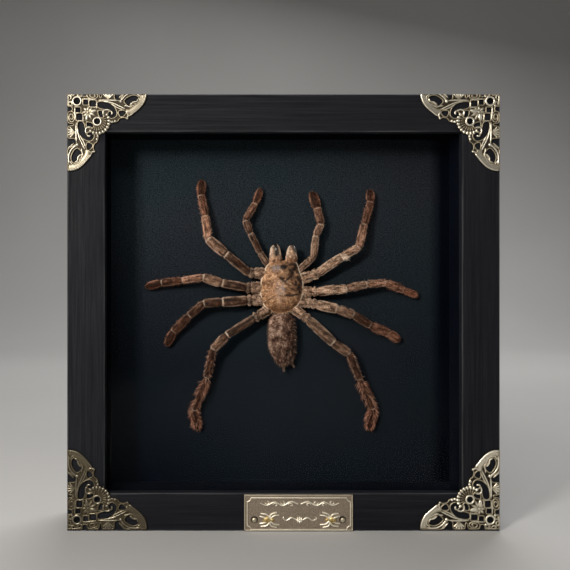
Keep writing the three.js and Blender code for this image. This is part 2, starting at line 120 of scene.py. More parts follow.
# ---------------------------------------------------------------- material nodes
class Finish:
    """A material with a Principled shader, and short calls for the nodes that feed it."""

    def __init__(self, name, **values):
        self.material = bpy.data.materials.new(name)
        self.material.use_nodes = True
        self.tree = self.material.node_tree
        self.shader = self.tree.nodes["Principled BSDF"]
        self.set(**values)

    def set(self, **values):
        """Sets or links the shader's sockets: base_color is Base Color, and so on."""
        sockets = {socket.name.lower().replace(" ", "_"): socket for socket in self.shader.inputs}
        for name, value in values.items():
            self.give(sockets[name], value)

    def give(self, socket, value):
        """Links a socket to an output, or sets its value."""
        if isinstance(value, bpy.types.NodeSocket):
            self.tree.links.new(value, socket)
        elif isinstance(value, tuple) and len(value) == 3 and socket.type == "RGBA":
            socket.default_value = (*value, 1)
        else:
            socket.default_value = value

    def add(self, kind, inputs, **settings):
        """A new shader node with its inputs and settings."""
        made = self.tree.nodes.new("ShaderNode" + kind)
        for name, value in settings.items():
            setattr(made, name, value)
        for name, value in inputs.items():
            self.give(made.inputs[name], value)
        return made

    def place(self):
        """The place on the object, in metres in the row frame."""
        return self.add("TexCoord", {}).outputs["Object"]

    def stretched(self, scale):
        """The place with each axis times its own scale, for grain that runs one way."""
        return self.add("Mapping", {"Vector": self.place(), "Scale": scale}).outputs["Vector"]

    def noise(self, where, scale, detail=3.0, rough=0.6):
        inputs = {"Vector": where, "Scale": scale, "Detail": detail, "Roughness": rough}
        return self.add("TexNoise", inputs).outputs["Fac"]

    def span(self, axis, low, high):
        """From 0 to 1 as the place goes from low to high, in metres, along X, Y or Z."""
        along = self.add("SeparateXYZ", {"Vector": self.place()}).outputs[axis]
        inputs = {"Value": along, "From Min": low, "From Max": high}
        return self.add("MapRange", inputs).outputs["Result"]

    def attribute(self, name, output="Fac"):
        return self.add("Attribute", {}, attribute_name=name).outputs[output]

    def ramp(self, value, *stops):
        """A smooth run of colours or greys, from (position, colour) pairs."""
        made = self.add("ValToRGB", {"Fac": value})
        steps = made.color_ramp.elements
        while len(steps) < len(stops):
            steps.new(0.5)
        for step, (position, colour) in zip(steps, stops):
            step.position = position
            grey = isinstance(colour, (int, float))
            step.color = (colour, colour, colour, 1) if grey else (*colour, 1)
        return made.outputs["Color"]

    def mix(self, share, first, second):
        """The first colour or grey where the share is 0, and the second where it is 1."""
        made = self.add("Mix", {}, data_type="RGBA")
        self.give(made.inputs[0], share)
        self.give(made.inputs[6], first)
        self.give(made.inputs[7], second)
        return made.outputs[2]

    def maths(self, operation, first, second=0.5):
        made = self.add("Math", {}, operation=operation)
        self.give(made.inputs[0], first)
        self.give(made.inputs[1], second)
        return made.outputs[0]

    def bump(self, height, distance_mm, strength=1.0):
        inputs = {"Height": height, "Distance": distance_mm * MM, "Strength": strength}
        self.set(normal=self.add("Bump", inputs).outputs["Normal"])


def black_wood(name, along):
    """Matt black paint over open grain, which runs along X, Y or Z, with rubbed front edges that are
    lightened also as a painted highlight.
    """
    finish = Finish(name, roughness=0.55, specular_ior_level=0.08)
    fine, coarse, broader = 1400.0, 30.0, 0.22
    scale = tuple(coarse if axis == along else fine for axis in "XYZ")
    grain = finish.noise(finish.stretched(scale), 1.0, 4.0, 0.65)
    streaks = finish.noise(finish.stretched(tuple(part * broader for part in scale)), 1.0, 2.0, 0.5)
    cloudy = finish.noise(finish.place(), 22.0, 2.0, 0.5)
    tones = ((0.0034, 0.0036, 0.0048), (0.0074, 0.0078, 0.0098), (0.0150, 0.0156, 0.0190))
    tone = finish.ramp(grain, *zip((0.28, 0.50, 0.74), tones))
    tone = finish.mix(finish.ramp(streaks, (0.35, 0.0), (0.75, 0.55)), tone, (0.0135, 0.0140, 0.0170))
    tone = finish.mix(finish.ramp(cloudy, (0.3, 0.35), (0.7, 0.0)), tone, (0.0045, 0.0048, 0.0062))
    # Rubbed paint on the front arrises, pale enough to be a painted highlight along them as well.
    worn = finish.maths("MULTIPLY", finish.attribute("arris"), finish.ramp(grain, (0.4, 0.1), (0.7, 0.8)))
    tone = finish.mix(worn, tone, (0.075, 0.075, 0.079))
    finish.set(base_color=tone, roughness=finish.ramp(grain, (0.3, 0.7), (0.7, 0.5)))
    finish.bump(grain, 0.12, 0.55)
    return finish.material


def clear_glass():
    """Clear polished glass, with a faint green tint, that lets the lamps through."""
    finish = Finish(
        "clear_glass",
        base_color=(0.985, 0.995, 0.99),
        transmission_weight=1.0,
        roughness=0.0,
        ior=1.45,
        specular_tint=(0.05, 0.05, 0.05),
    )
    straight = finish.add("BsdfTransparent", {"Color": (0.97, 0.985, 0.98)})
    path = finish.add("LightPath", {})
    surface = finish.shader.outputs[0]
    for ray in ("Is Shadow Ray", "Is Diffuse Ray"):
        either = finish.add("MixShader", {"Fac": path.outputs[ray]})
        finish.give(either.inputs[1], surface)
        finish.give(either.inputs[2], straight.outputs[0])
        surface = either.outputs[0]
    finish.give(finish.tree.nodes["Material Output"].inputs["Surface"], surface)
    return finish.material


def charcoal_board():
    """Dark felt-like board with a fine speckle and a cloudy tone, with painted shade low down and at the
    right, and a painted shadow beside the right wall.
    """
    finish = Finish("charcoal_board", roughness=1.0, specular_ior_level=0.0)
    speckle = finish.noise(finish.place(), 1500.0, 3.0, 0.7)
    fibre = finish.noise(finish.stretched((700.0, 700.0, 2300.0)), 1.0, 2.0, 0.6)
    cloudy = finish.noise(finish.place(), 14.0, 2.0, 0.5)
    teal = finish.ramp(speckle, (0.34, (0.0025, 0.0045, 0.0065)), (0.68, (0.0345, 0.0460, 0.0540)))
    warm = finish.ramp(speckle, (0.34, (0.0040, 0.0050, 0.0070)), (0.68, (0.0390, 0.0425, 0.0505)))
    tone = finish.mix(finish.ramp(cloudy, (0.38, 0.0), (0.62, 1.0)), teal, warm)
    tone = finish.mix(finish.ramp(fibre, (0.42, 0.35), (0.6, 0.0)), tone, (0.0045, 0.0060, 0.0080))
    # Painted shade: darker and bluer low down (less so at the left) and towards the right, and a painted
    # shadow of the right wall in a thin band beside it.
    low = finish.ramp(finish.span("Z", 0.02, 0.16), (0.0, 0.99), (0.45, 0.72), (1.0, 0.0))
    less_low = finish.ramp(finish.span("X", -0.075, -0.01), (0.0, 1.0), (1.0, 0.64))
    right = finish.ramp(finish.span("X", 0.01, 0.095), (0.0, 0.0), (1.0, 0.20))
    edge = finish.ramp(finish.span("X", 0.081, 0.088), (0.0, 0.0), (1.0, 0.92))
    tone = finish.mix(right, tone, (0.0070, 0.0085, 0.0110))
    tone = finish.mix(finish.maths("MULTIPLY", low, less_low), tone, (0.0016, 0.0028, 0.0060))
    finish.set(base_color=finish.mix(edge, tone, (0.0006, 0.0010, 0.0030)))
    finish.bump(speckle, 0.04, 0.35)
    return finish.material


def black_liner():
    """Near-black paper-faced foam board."""
    finish = Finish("black_liner", roughness=0.95, specular_ior_level=0.03)
    speckle = finish.noise(finish.place(), 1200.0, 2.0, 0.6)
    tone = finish.ramp(speckle, (0.3, (0.0005, 0.0009, 0.0024)), (0.7, (0.0016, 0.0024, 0.0055)))
    finish.set(base_color=tone)
    finish.bump(speckle, 0.05, 0.5)
    return finish.material


def fibreboard():
    """Bare brown fibreboard with short pressed fibres."""
    finish = Finish("fibreboard", roughness=0.85, specular_ior_level=0.25)
    fibres = finish.noise(finish.stretched((420.0, 420.0, 1500.0)), 1.0, 4.0, 0.7)
    flecks = finish.noise(finish.place(), 900.0, 2.0, 0.6)
    cloudy = finish.noise(finish.place(), 18.0, 3.0, 0.5)
    tones = ((0.17, 0.095, 0.045), (0.27, 0.165, 0.085), (0.36, 0.24, 0.135))
    tone = finish.ramp(fibres, *zip((0.3, 0.55, 0.8), tones))
    tone = finish.mix(finish.ramp(flecks, (0.62, 0.0), (0.74, 0.7)), tone, (0.10, 0.055, 0.028))
    tone = finish.mix(finish.ramp(cloudy, (0.35, 0.3), (0.65, 0.0)), tone, (0.19, 0.115, 0.06))
    finish.set(base_color=tone)
    finish.bump(fibres, 0.12, 0.6)
    return finish.material


def zinc_steel():
    """Zinc-plated steel with fine scratches along X and small dull spots."""
    finish = Finish("zinc_steel", metallic=1.0)
    scratches = finish.noise(finish.stretched((120.0, 3500.0, 3500.0)), 1.0, 3.0, 0.6)
    spots = finish.noise(finish.place(), 420.0, 3.0, 0.6)
    tone = finish.ramp(scratches, (0.3, (0.40, 0.41, 0.42)), (0.7, (0.58, 0.58, 0.58)))
    tone = finish.mix(finish.ramp(spots, (0.55, 0.0), (0.72, 0.6)), tone, (0.26, 0.25, 0.235))
    finish.set(base_color=tone, roughness=finish.ramp(spots, (0.3, 0.26), (0.7, 0.5)))
    finish.bump(scratches, 0.02, 0.5)
    return finish.material


def antique_bronze(name, floor_mm, crest_mm, floor_tone=(0.022, 0.016, 0.010)):
    """Antiqued metal: dark at floor_mm in front of the rails, pale gold at crest_mm, and dull with patina and
    painted shade.
    """
    finish = Finish(name, metallic=0.75)
    proud = finish.span("Y", (FRONT_Y - floor_mm) * MM, (FRONT_Y - crest_mm) * MM)
    rubbed = finish.noise(finish.place(), 1500.0, 5.0, 0.7)
    worn = finish.maths("ADD", proud, finish.maths("MULTIPLY", finish.maths("SUBTRACT", rubbed, 0.5), 0.55))
    slope_tone = tuple(0.6 * part + extra for part, extra in zip(floor_tone, (0.20, 0.16, 0.10)))
    crest_stops = ((0.72, (0.50, 0.43, 0.30)), (1.0, (0.95, 0.88, 0.72)))
    tone = finish.ramp(worn, (0.05, floor_tone), (0.40, slope_tone), *crest_stops)
    # Patina, with painted shade that differs from corner to corner.
    tone = finish.mix(finish.attribute("patina"), tone, (0.075, 0.058, 0.030))
    fleck = finish.ramp(finish.noise(finish.place(), 2600.0, 2.0, 0.6), (0.44, 0.75), (0.56, 0.0))
    fleck = finish.maths("MULTIPLY", fleck, finish.maths("SUBTRACT", 1.0, proud))
    tone = finish.mix(fleck, tone, tuple(0.4 * part for part in floor_tone))
    finish.set(base_color=tone, roughness=finish.ramp(worn, (0.1, 0.62), (0.9, 0.33)))
    finish.bump(rubbed, 0.04, 0.5)
    return finish.material


def rubbed_gold():
    """Warm yellow metal with darker rubbed patches."""
    finish = Finish("rubbed_gold", metallic=0.8)
    rubbed = finish.noise(finish.place(), 1500.0, 3.0, 0.6)
    tone = finish.ramp(rubbed, (0.35, (0.30, 0.19, 0.06)), (0.65, (0.78, 0.60, 0.26)))
    finish.set(base_color=tone, roughness=finish.ramp(rubbed, (0.3, 0.5), (0.7, 0.3)))
    finish.bump(rubbed, 0.05, 0.5)
    return finish.material


def leg_skin():
    """Dry leg cuticle: pinkish tan near the body, reddish brown outside, with pale joint rings, painted
    highlights and painted shade.
    """
    finish = Finish("leg_skin", specular_ior_level=0.10)
    grain = finish.attribute("grain", "Vector")
    along_limb = finish.add("Mapping", {"Vector": grain, "Scale": STREAK}).outputs["Vector"]
    streaks = finish.noise(along_limb, 1.0, 4.0, 0.65)
    mottle = finish.noise(finish.place(), 900.0, 4.0, 0.7)
    stops = (0.36, 0.50, 0.66)
    tan = finish.ramp(streaks, *zip(stops, ((0.030, 0.014, 0.009), (0.44, 0.240, 0.145), (0.88, 0.60, 0.42))))
    red = finish.ramp(streaks, *zip(stops, ((0.018, 0.006, 0.003), (0.28, 0.098, 0.052), (0.66, 0.30, 0.18))))
    tone = finish.mix(finish.attribute("stage"), tan, red)
    dark = finish.ramp(mottle, (0.3, (0.007, 0.002, 0.001)), (0.7, (0.042, 0.012, 0.004)))
    # Stain and painted shade, weighted to the limbs' tops so that their flanks look lit.
    tone = finish.mix(finish.attribute("stain"), tone, dark)
    tone = finish.mix(finish.ramp(mottle, (0.56, 0.0), (0.70, 0.65)), tone, (0.10, 0.055, 0.04))
    # Dark grooves and stripes in the skin, with painted shade in the grooves and in the troughs of the folds.
    tone = finish.mix(finish.attribute("furrow"), tone, (0.010, 0.005, 0.003))
    # Pale joint rings, with painted highlights along the upper flanks and on the crests of the folds.
    tone = finish.mix(finish.attribute("ring"), tone, (0.74, 0.56, 0.43))
    finish.set(base_color=tone, roughness=finish.ramp(mottle, (0.3, 0.5), (0.7, 0.75)))
    finish.bump(finish.maths("ADD", streaks, mottle), 0.12, 0.7)
    return finish.material


def leg_hair():
    """Hairs that go from tan to reddish brown along the limb, each with its own shade, darkened by stain and
    painted shade.
    """
    finish = Finish("leg_hair", roughness=0.6, specular_ior_level=0.05)
    shade = finish.attribute("shade")
    stops = (0.0, 0.5, 1.0)
    tan = finish.ramp(shade, *zip(stops, ((0.022, 0.010, 0.006), (0.51, 0.290, 0.188), (1.0, 0.77, 0.60))))
    red = finish.ramp(shade, *zip(stops, ((0.014, 0.004, 0.002), (0.32, 0.122, 0.072), (0.94, 0.50, 0.34))))
    tone = finish.mix(finish.attribute("stage"), tan, red)
    dark_tones = ((0.006, 0.0015, 0.0005), (0.034, 0.008, 0.002), (0.15, 0.052, 0.022))
    dark = finish.ramp(shade, *zip((0.0, 0.6, 1.0), dark_tones))
    finish.set(base_color=finish.mix(finish.attribute("stain"), tone, dark))
    return finish.material


def carapace_skin():
    """Golden-brown chitin with a pale rim that is also a painted highlight, painted shadow in its grooves,
    painted shade on its right side and a dark eye mound.
    """
    finish = Finish("carapace_skin", specular_ior_level=0.14)
    mottle = finish.noise(finish.place(), 620.0, 5.0, 0.7)
    fine = finish.noise(finish.place(), 2200.0, 3.0, 0.7)
    tones = ((0.15, 0.058, 0.024), (0.46, 0.225, 0.110), (0.82, 0.54, 0.34))
    gold = finish.ramp(mottle, *zip((0.32, 0.50, 0.68), tones))
    tone = finish.mix(finish.ramp(fine, (0.52, 0.0), (0.70, 0.55)), gold, (0.20, 0.10, 0.05))
    tone = finish.mix(finish.attribute("streak"), tone, (0.070, 0.025, 0.009))
    tone = finish.mix(finish.attribute("grey"), tone, (0.31, 0.275, 0.285))
    # The dark mark: painted shadow in grooves and the pit, painted shade on the right side and underneath,
    # and the dark eyes, brow and jaw slits.
    tone = finish.mix(finish.attribute("dark"), tone, (0.014, 0.008, 0.007))
    # The pale rim, partly a painted highlight along the edges.
    tone = finish.mix(finish.attribute("rim"), tone, (0.82, 0.67, 0.52))
    finish.set(base_color=tone, roughness=finish.ramp(fine, (0.3, 0.45), (0.7, 0.7)))
    finish.bump(finish.maths("ADD", mottle, fine), 0.16, 0.7)
    return finish.material


def golden_hair():
    """Short pale golden hairs, darkened where the shell has stain or painted shade."""
    finish = Finish("golden_hair", roughness=0.6, specular_ior_level=0.06)
    shade = finish.attribute("shade")
    tones = ((0.06, 0.020, 0.006), (0.47, 0.222, 0.092), (0.98, 0.74, 0.55))
    tone = finish.ramp(shade, *zip((0.0, 0.5, 1.0), tones))
    finish.set(base_color=finish.mix(finish.attribute("stain"), tone, (0.03, 0.015, 0.009)))
    return finish.material


def abdomen_skin():
    """Shrivelled dull brown skin under the fur."""
    finish = Finish("abdomen_skin", roughness=0.85, specular_ior_level=0.2)
    mottle = finish.noise(finish.place(), 480.0, 4.0, 0.7)
    tones = ((0.035, 0.017, 0.010), (0.11, 0.062, 0.040), (0.26, 0.16, 0.11))
    finish.set(base_color=finish.ramp(mottle, *zip((0.32, 0.55, 0.75), tones)))
    finish.bump(mottle, 0.25, 0.8)
    return finish.material


def abdomen_fur():
    """Mottled fur, from nearly black to pale brown."""
    finish = Finish("abdomen_fur", roughness=0.65, specular_ior_level=0.06)
    tones = ((0.012, 0.006, 0.004), (0.138, 0.060, 0.040), (0.47, 0.270, 0.190), (0.92, 0.68, 0.53))
    finish.set(base_color=finish.ramp(finish.attribute("shade"), *zip((0.0, 0.40, 0.75, 1.0), tones)))
    return finish.material


def glossy_black():
    """Hard glossy black chitin, as on the fangs and the eyes."""
    finish = Finish("glossy_black", specular_ior_level=0.8, coat_weight=1.0, coat_roughness=0.12)
    cloudy = finish.noise(finish.place(), 900.0, 2.0, 0.5)
    tone = finish.ramp(cloudy, (0.3, (0.006, 0.005, 0.005)), (0.7, (0.03, 0.02, 0.016)))
    finish.set(base_color=tone, roughness=finish.ramp(cloudy, (0.3, 0.12), (0.7, 0.28)))
    return finish.material


def pale_stage():
    """Plain pale seamless paper."""
    finish = Finish("pale_stage", roughness=0.9, specular_ior_level=0.1)
    cloudy = finish.noise(finish.place(), 3.0, 2.0, 0.5)
    finish.set(base_color=finish.ramp(cloudy, (0.3, (0.50, 0.49, 0.475)), (0.7, (0.53, 0.52, 0.505))))
    return finish.material


# ---------------------------------------------------------------- mesh helpers
def joined(parts):
    """One list of points and faces from several."""
    points, faces, first = [], [], 0
    for some_points, some_faces in parts:
        points.append(np.asarray(some_points, float))
        faces.extend([[index + first for index in face] for face in some_faces])
        first += len(some_points)
    return np.vstack(points), faces


def mesh_object(name, points, faces, material, smooth=True, values=None):
    """An object from points in millimetres, with a number at each point for each entry in values."""
    mesh = bpy.data.meshes.new(name)
    mesh.from_pydata((np.asarray(points) * MM).tolist(), [], faces)
    mesh.materials.append(material)
    mesh.polygons.foreach_set("use_smooth", [smooth] * len(mesh.polygons))
    for key, numbers in (values or {}).items():
        flat = np.asarray(numbers, np.float32)
        kind, field = ("FLOAT_VECTOR", "vector") if flat.ndim == 2 else ("FLOAT", "value")
        mesh.attributes.new(key, kind, "POINT").data.foreach_set(field, flat.ravel())
    mesh.validate()
    made = bpy.data.objects.new(name, mesh)
    bpy.context.scene.collection.objects.link(made)
    return made


def as_piece(made, slot, *nodes):
    """The object rides on the one body and stands for CAD nodes, which it hides. The slot is not used."""
    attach(made, "root")
    if nodes:
        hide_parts(*nodes)
    return made


def full_turn(count):
    """Angles evenly spaced round a circle."""
    return np.arange(count) * 2 * math.pi / count


def circle(middle, radius, count=24):
    """Points evenly spaced round a circle."""
    angles = full_turn(count)
    return np.stack([middle[0] + radius * np.cos(angles), middle[1] + radius * np.sin(angles)], 1)


def peak(values, middle, width):
    """1 where the values equal the middle, and falling off smoothly over the width."""
    return np.exp(-(((values - middle) / width) ** 2))


def oval(x, z, middle, size, power=2):
    """1 in the middle of an oval patch, and falling off smoothly over its half sizes."""
    return np.exp(-(np.hypot((x - middle[0]) / size[0], (z - middle[1]) / size[1]) ** power))


def loft(rings):
    """A closed tube through rings of points, with a pole at each end."""
    rings = np.asarray(rings, float)
    count, sides = rings.shape[:2]
    points = np.vstack([rings.reshape(-1, 3), rings[0].mean(0), rings[-1].mean(0)])
    start, end = count * sides, count * sides + 1
    faces = []
    for j in range(sides):
        k = (j + 1) % sides
        for i in range(0, (count - 1) * sides, sides):
            faces.append((i + j, i + k, i + sides + k, i + sides + j))
        faces.append((start, k, j))
        faces.append((end, (count - 1) * sides + j, (count - 1) * sides + k))
    return points, faces


def with_poles(grid):
    """The numbers of a loft's rings, flattened, with its two poles' values added."""
    grid = np.asarray(grid, float)
    return np.concatenate([grid.ravel(), [grid[0].mean(), grid[-1].mean()]])


def rough(points, size, seed=0.0):
    """Smooth noise from -1 to 1 at each point, with lumps of about the given size in millimetres."""
    shift = Vector((seed * 13.7, seed * 5.1, seed * 9.3))
    flat = np.asarray(points, float).reshape(-1, 3)
    values = [noise.noise(Vector(point) / size + shift) for point in flat]
    return np.array(values).reshape(np.asarray(points).shape[:-1])


def smooth_path(points, steps, closed=False):
    """A Catmull-Rom curve through points of any dimension."""
    points = np.asarray(points, float)
    if closed:
        around = np.vstack([points[-1:], points, points[:2]])
    else:
        around = np.vstack([2 * points[0] - points[1], points, 2 * points[-1] - points[-2]])
    out = []
    for i in range(1, len(around) - 2):
        a, b, c, d = around[i - 1 : i + 3]
        for t in np.arange(steps) / steps:
            square, cube = (2 * a - 5 * b + 4 * c - d) * t**2, (3 * b - a - 3 * c + d) * t**3
            out.append(0.5 * (2 * b + (c - a) * t + square + cube))
    if not closed:
        out.append(points[-1])
    return np.array(out)


def unit(vectors):
    """Vectors at length 1."""
    vectors = np.asarray(vectors, float)
    return vectors / np.maximum(np.linalg.norm(vectors, axis=-1, keepdims=True), 1e-9)


def tube(path, radius, sides=8, closed=False, flat=1.0):
    """A round bar along a path. The radius is one number or one for each point; flat squashes it along Y."""
    path = np.asarray(path, float)
    radius = np.broadcast_to(radius, len(path))
    if closed:
        heading = unit(np.roll(path, -1, 0) - np.roll(path, 1, 0))
    else:
        heading = unit(np.gradient(path, axis=0))
    up = np.array([0.0, -1.0, 0.0])
    side = unit(np.cross(heading, up))
    above = unit(np.cross(side, heading))
    angles = full_turn(sides)[None, :, None]
    ring = np.cos(angles) * side[:, None] + np.sin(angles) * above[:, None] * flat
    rings = path[:, None] + ring * radius[:, None, None]
    if not closed:
        return loft(rings)
    count = len(path)
    faces = []
    for i in range(count):
        here, there = i * sides, (i + 1) % count * sides
        for j in range(sides):
            k = (j + 1) % sides
            faces.append((here + j, here + k, there + k, there + j))
    return rings.reshape(-1, 3), faces


def blob(middle, radii, heading=0.0, sides=12):
    """An ellipsoid in the plane of the frame's front, turned by heading about Y."""
    turn = full_turn(sides)
    rings = []
    for angle in math.pi * np.arange(1, 7) / 7:
        across = math.sin(angle)
        ring = np.stack([across * np.cos(turn), across * np.sin(turn), np.full(sides, -math.cos(angle))], 1)
        rings.append(ring * np.array(radii))
    points, faces = loft(rings)
    c, s = math.cos(heading), math.sin(heading)
    turned = points.copy()
    turned[:, 0] = c * points[:, 0] + s * points[:, 2]
    turned[:, 2] = -s * points[:, 0] + c * points[:, 2]
    return turned + np.asarray(middle), faces


def sheet_with_holes(outline, holes, back, front):
    """A flat sheet between two Y places, from an outline and holes drawn in X and Z."""
    curve = bpy.data.curves.new("sheet", "CURVE")
    curve.dimensions = "2D"
    curve.fill_mode = "BOTH"
    curve.extrude = abs(back - front) / 2
    for ring in [outline, *holes]:
        spline = curve.splines.new("POLY")
        spline.points.add(len(ring) - 1)
        for point, (x, z) in zip(spline.points, ring):
            point.co = (x, z, 0, 1)
        spline.use_cyclic_u = True
    drawn = bpy.data.objects.new("sheet", curve)
    bpy.context.scene.collection.objects.link(drawn)
    bpy.context.view_layer.update()
    made = bpy.data.meshes.new_from_object(drawn.evaluated_get(bpy.context.evaluated_depsgraph_get()))
    work = bmesh.new()
    work.from_mesh(made)
    bmesh.ops.remove_doubles(work, verts=work.verts, dist=1e-4)
    bmesh.ops.recalc_face_normals(work, faces=work.faces)
    points = np.array([(v.co.x, (back + front) / 2 + v.co.z, v.co.y) for v in work.verts])
    faces = [[v.index for v in face.verts] for face in work.faces]
    work.free()
    bpy.data.objects.remove(drawn)
    return points, faces


def fused(parts, voxel, share, smoothing=3):
    """Overlapping closed meshes as one smooth skin: joined by voxels, smoothed and thinned to a share."""
    points, faces = joined(parts)
    mesh = bpy.data.meshes.new("fused")
    mesh.from_pydata(points.tolist(), [], faces)
    work = bpy.data.objects.new("fused", mesh)
    bpy.context.scene.collection.objects.link(work)
    remesh = work.modifiers.new("fuse", "REMESH")
    remesh.mode = "VOXEL"
    remesh.voxel_size = voxel
    soften = work.modifiers.new("soften", "SMOOTH")
    soften.factor = 0.5
    soften.iterations = smoothing
    thin = work.modifiers.new("thin", "DECIMATE")
    thin.ratio = share
    bpy.context.view_layer.update()
    made = bpy.data.meshes.new_from_object(work.evaluated_get(bpy.context.evaluated_depsgraph_get()))
    points = np.zeros(len(made.vertices) * 3)
    made.vertices.foreach_get("co", points)
    faces = [list(polygon.vertices) for polygon in made.polygons]
    bpy.data.objects.remove(work)
    return points.reshape(-1, 3), faces


# ---------------------------------------------------------------- rails
LIP_DEPTH = 6.0
RABBET = 6.0
MITRE_GAP = 0.08
ARRIS = 0.8  # radius of the rounded front edges
SOFT_EDGE = 0.35  # radius of the other edges
WAVE_DEPTH, WAVE_LENGTH = 0.06, 30.0  # how uneven the painted front is


def rail_section():
    """The rail's section as (across, depth, arris) points, with rounded edges."""
    wall = RAIL_WIDTH - RABBET
    depth = BACK_Y - FRONT_Y
    corners = [
        (0, 0, ARRIS, 1),
        (RAIL_WIDTH, 0, ARRIS, 1),
        (RAIL_WIDTH, LIP_DEPTH, SOFT_EDGE, 0),
        (wall, LIP_DEPTH, 0.1, 0),
        (wall, depth, SOFT_EDGE, 0),
        (0, depth, SOFT_EDGE, 0),
    ]
    out = []
    for i, (across, deep, radius, arris) in enumerate(corners):
        here = np.array([across, deep], float)
        before = unit(np.array(corners[i - 1][:2], float) - here)
        after = unit(np.array(corners[(i + 1) % len(corners)][:2], float) - here)
        for t in np.linspace(0, 1, 5):
            bend = (1 - t) ** 2 * before + t**2 * after
            out.append((*(here + bend * radius), arris if 0 < t < 1 else 0))
    return out


def make_rail(side, run, x, z, turn, material):
    """One mitred rail. Its own X runs along it and its own Z from the frame's outside inwards."""
    section = np.array(rail_section())
    stations = np.linspace(-1, 1, 25)
    rings = []
    for station in stations:
        along = station * (run / 2 - section[:, 0] - MITRE_GAP)
        rings.append(np.stack([along, FRONT_Y + section[:, 1], section[:, 0]], 1))
    rings = np.array(rings)
    waviness = WAVE_DEPTH * rough(rings * np.array([1.0, 0.4, 0.4]), WAVE_LENGTH, run)
    rings[:, :, 1] += np.where(rings[:, :, 1] < FRONT_Y + 3, waviness, 0)
    rings[:, :, 1] = np.maximum(rings[:, :, 1], FRONT_Y - 0.04)
    c, s = round(math.cos(turn)), round(math.sin(turn))
    turned = rings.copy()
    turned[:, :, 0] = x + c * rings[:, :, 0] + s * rings[:, :, 2]
    turned[:, :, 2] = z - s * rings[:, :, 0] + c * rings[:, :, 2]
    points, faces = loft(turned)
    count = len(section)
    last = (len(stations) - 1) * count
    faces = [face for face in faces if len(face) == 4]  # flat mitred ends take the place of the poles
    faces += [list(range(count))[::-1], list(range(last, last + count))]
    arris = np.tile(section[:, 2], len(stations))
    rail = mesh_object(f"rail_{side}_wood", points[:-2], faces, material, values={"arris": arris})
    as_piece(rail, "black_wood", f"rail_{side}")


def make_rails():
    """The four rails, with the grain along each."""
    lying = black_wood("black_wood_lying", "X")
    upright = black_wood("black_wood_upright", "Z")
    half = FRAME_WIDTH / 2
    middle = FRAME_HEIGHT / 2
    make_rail("bottom", FRAME_WIDTH, 0, 0, 0, lying)
    make_rail("top", FRAME_WIDTH, 0, FRAME_HEIGHT, math.pi, lying)
    make_rail("left", FRAME_HEIGHT, -half, middle, math.pi / 2, upright)
    make_rail("right", FRAME_HEIGHT, half, middle, -math.pi / 2, upright)


# ---------------------------------------------------------------- plain nodes, nails and pins
def dress(node, material):
    """Gives a CAD node its finish."""
    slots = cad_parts[node].data.materials
    slots.clear()
    slots.append(material)


def make_plain_nodes():
    """The finishes of the nodes that keep their shape, and the hanger's two nails."""
    dress("glass_pane", clear_glass())
    dress("mounting_board", charcoal_board())
    dress("back_panel", fibreboard())
    liner = black_liner()
    steel = zinc_steel()
    for side in ("top", "bottom", "left", "right"):
        dress(f"liner_{side}", liner)
        dress(f"framers_point_{side}_1", steel)
        dress(f"framers_point_{side}_2", steel)
    dress("sawtooth_hanger", steel)
    for side in ("left", "right"):
        make_turned(f"hanger_nail_{side}", "steel", nail_profile, steel)


def make_turned(node, slot, profile, material):
    """A small round piece along Y, from a profile of (radius, y) pairs that is given its radius and ends."""
    low, high = box_mm(node)
    x, z = (low[0] + high[0]) / 2, (low[2] + high[2]) / 2
    rings = []
    for radius, y in profile((high[0] - low[0]) / 2, low[1], high[1]):
        rings.append(np.insert(circle((x, z), radius), 1, y, axis=1))
    as_piece(mesh_object(f"{node}_{slot}", *loft(rings), material), slot, node)


def nail_profile(radius, start, end):
    """A pointed shank with a domed head behind."""
    head, shank = 0.7, 0.7
    dome = [(radius * math.cos(a), end - head * (1 - math.sin(a)) * 0.8) for a in np.linspace(0.1, 1.5, 7)]
    return [(0.05, start), (shank, start + 1.2), (shank, end - head), (radius, end - head), *dome]


def pin_profile(radius, start, end):
    """A domed head in front of a thin shank."""
    head, shank = 0.8, 0.5
    angles = np.linspace(0.12, math.pi / 2, 8)
    dome = [(radius * math.sin(a), start + head * (1 - math.cos(a))) for a in angles]
    return [*dome, (shank, start + head), (shank, end - 1), (0.06, end)]


# ---------------------------------------------------------------- openwork corners
# The pattern is symmetric about its diagonal, and drawn in units of about half a millimetre from the
# frame's corner, along its two edges. What is listed for one half has a twin in the other.
UNIT = 0.508
PLATE_BACK = FRONT_Y - 0.1
PLATE_FRONT = FRONT_Y - 0.75
RIDGE_Y = FRONT_Y - 0.72  # the middle of the raised lines
EDGE_INSET = 0.3  # the trim stops this far inside the frame's edge
ROUND_RIM, FINE_RIM, EDGE_RIM = 1.15, 0.75, 0.72  # the raised rims' radii, in units

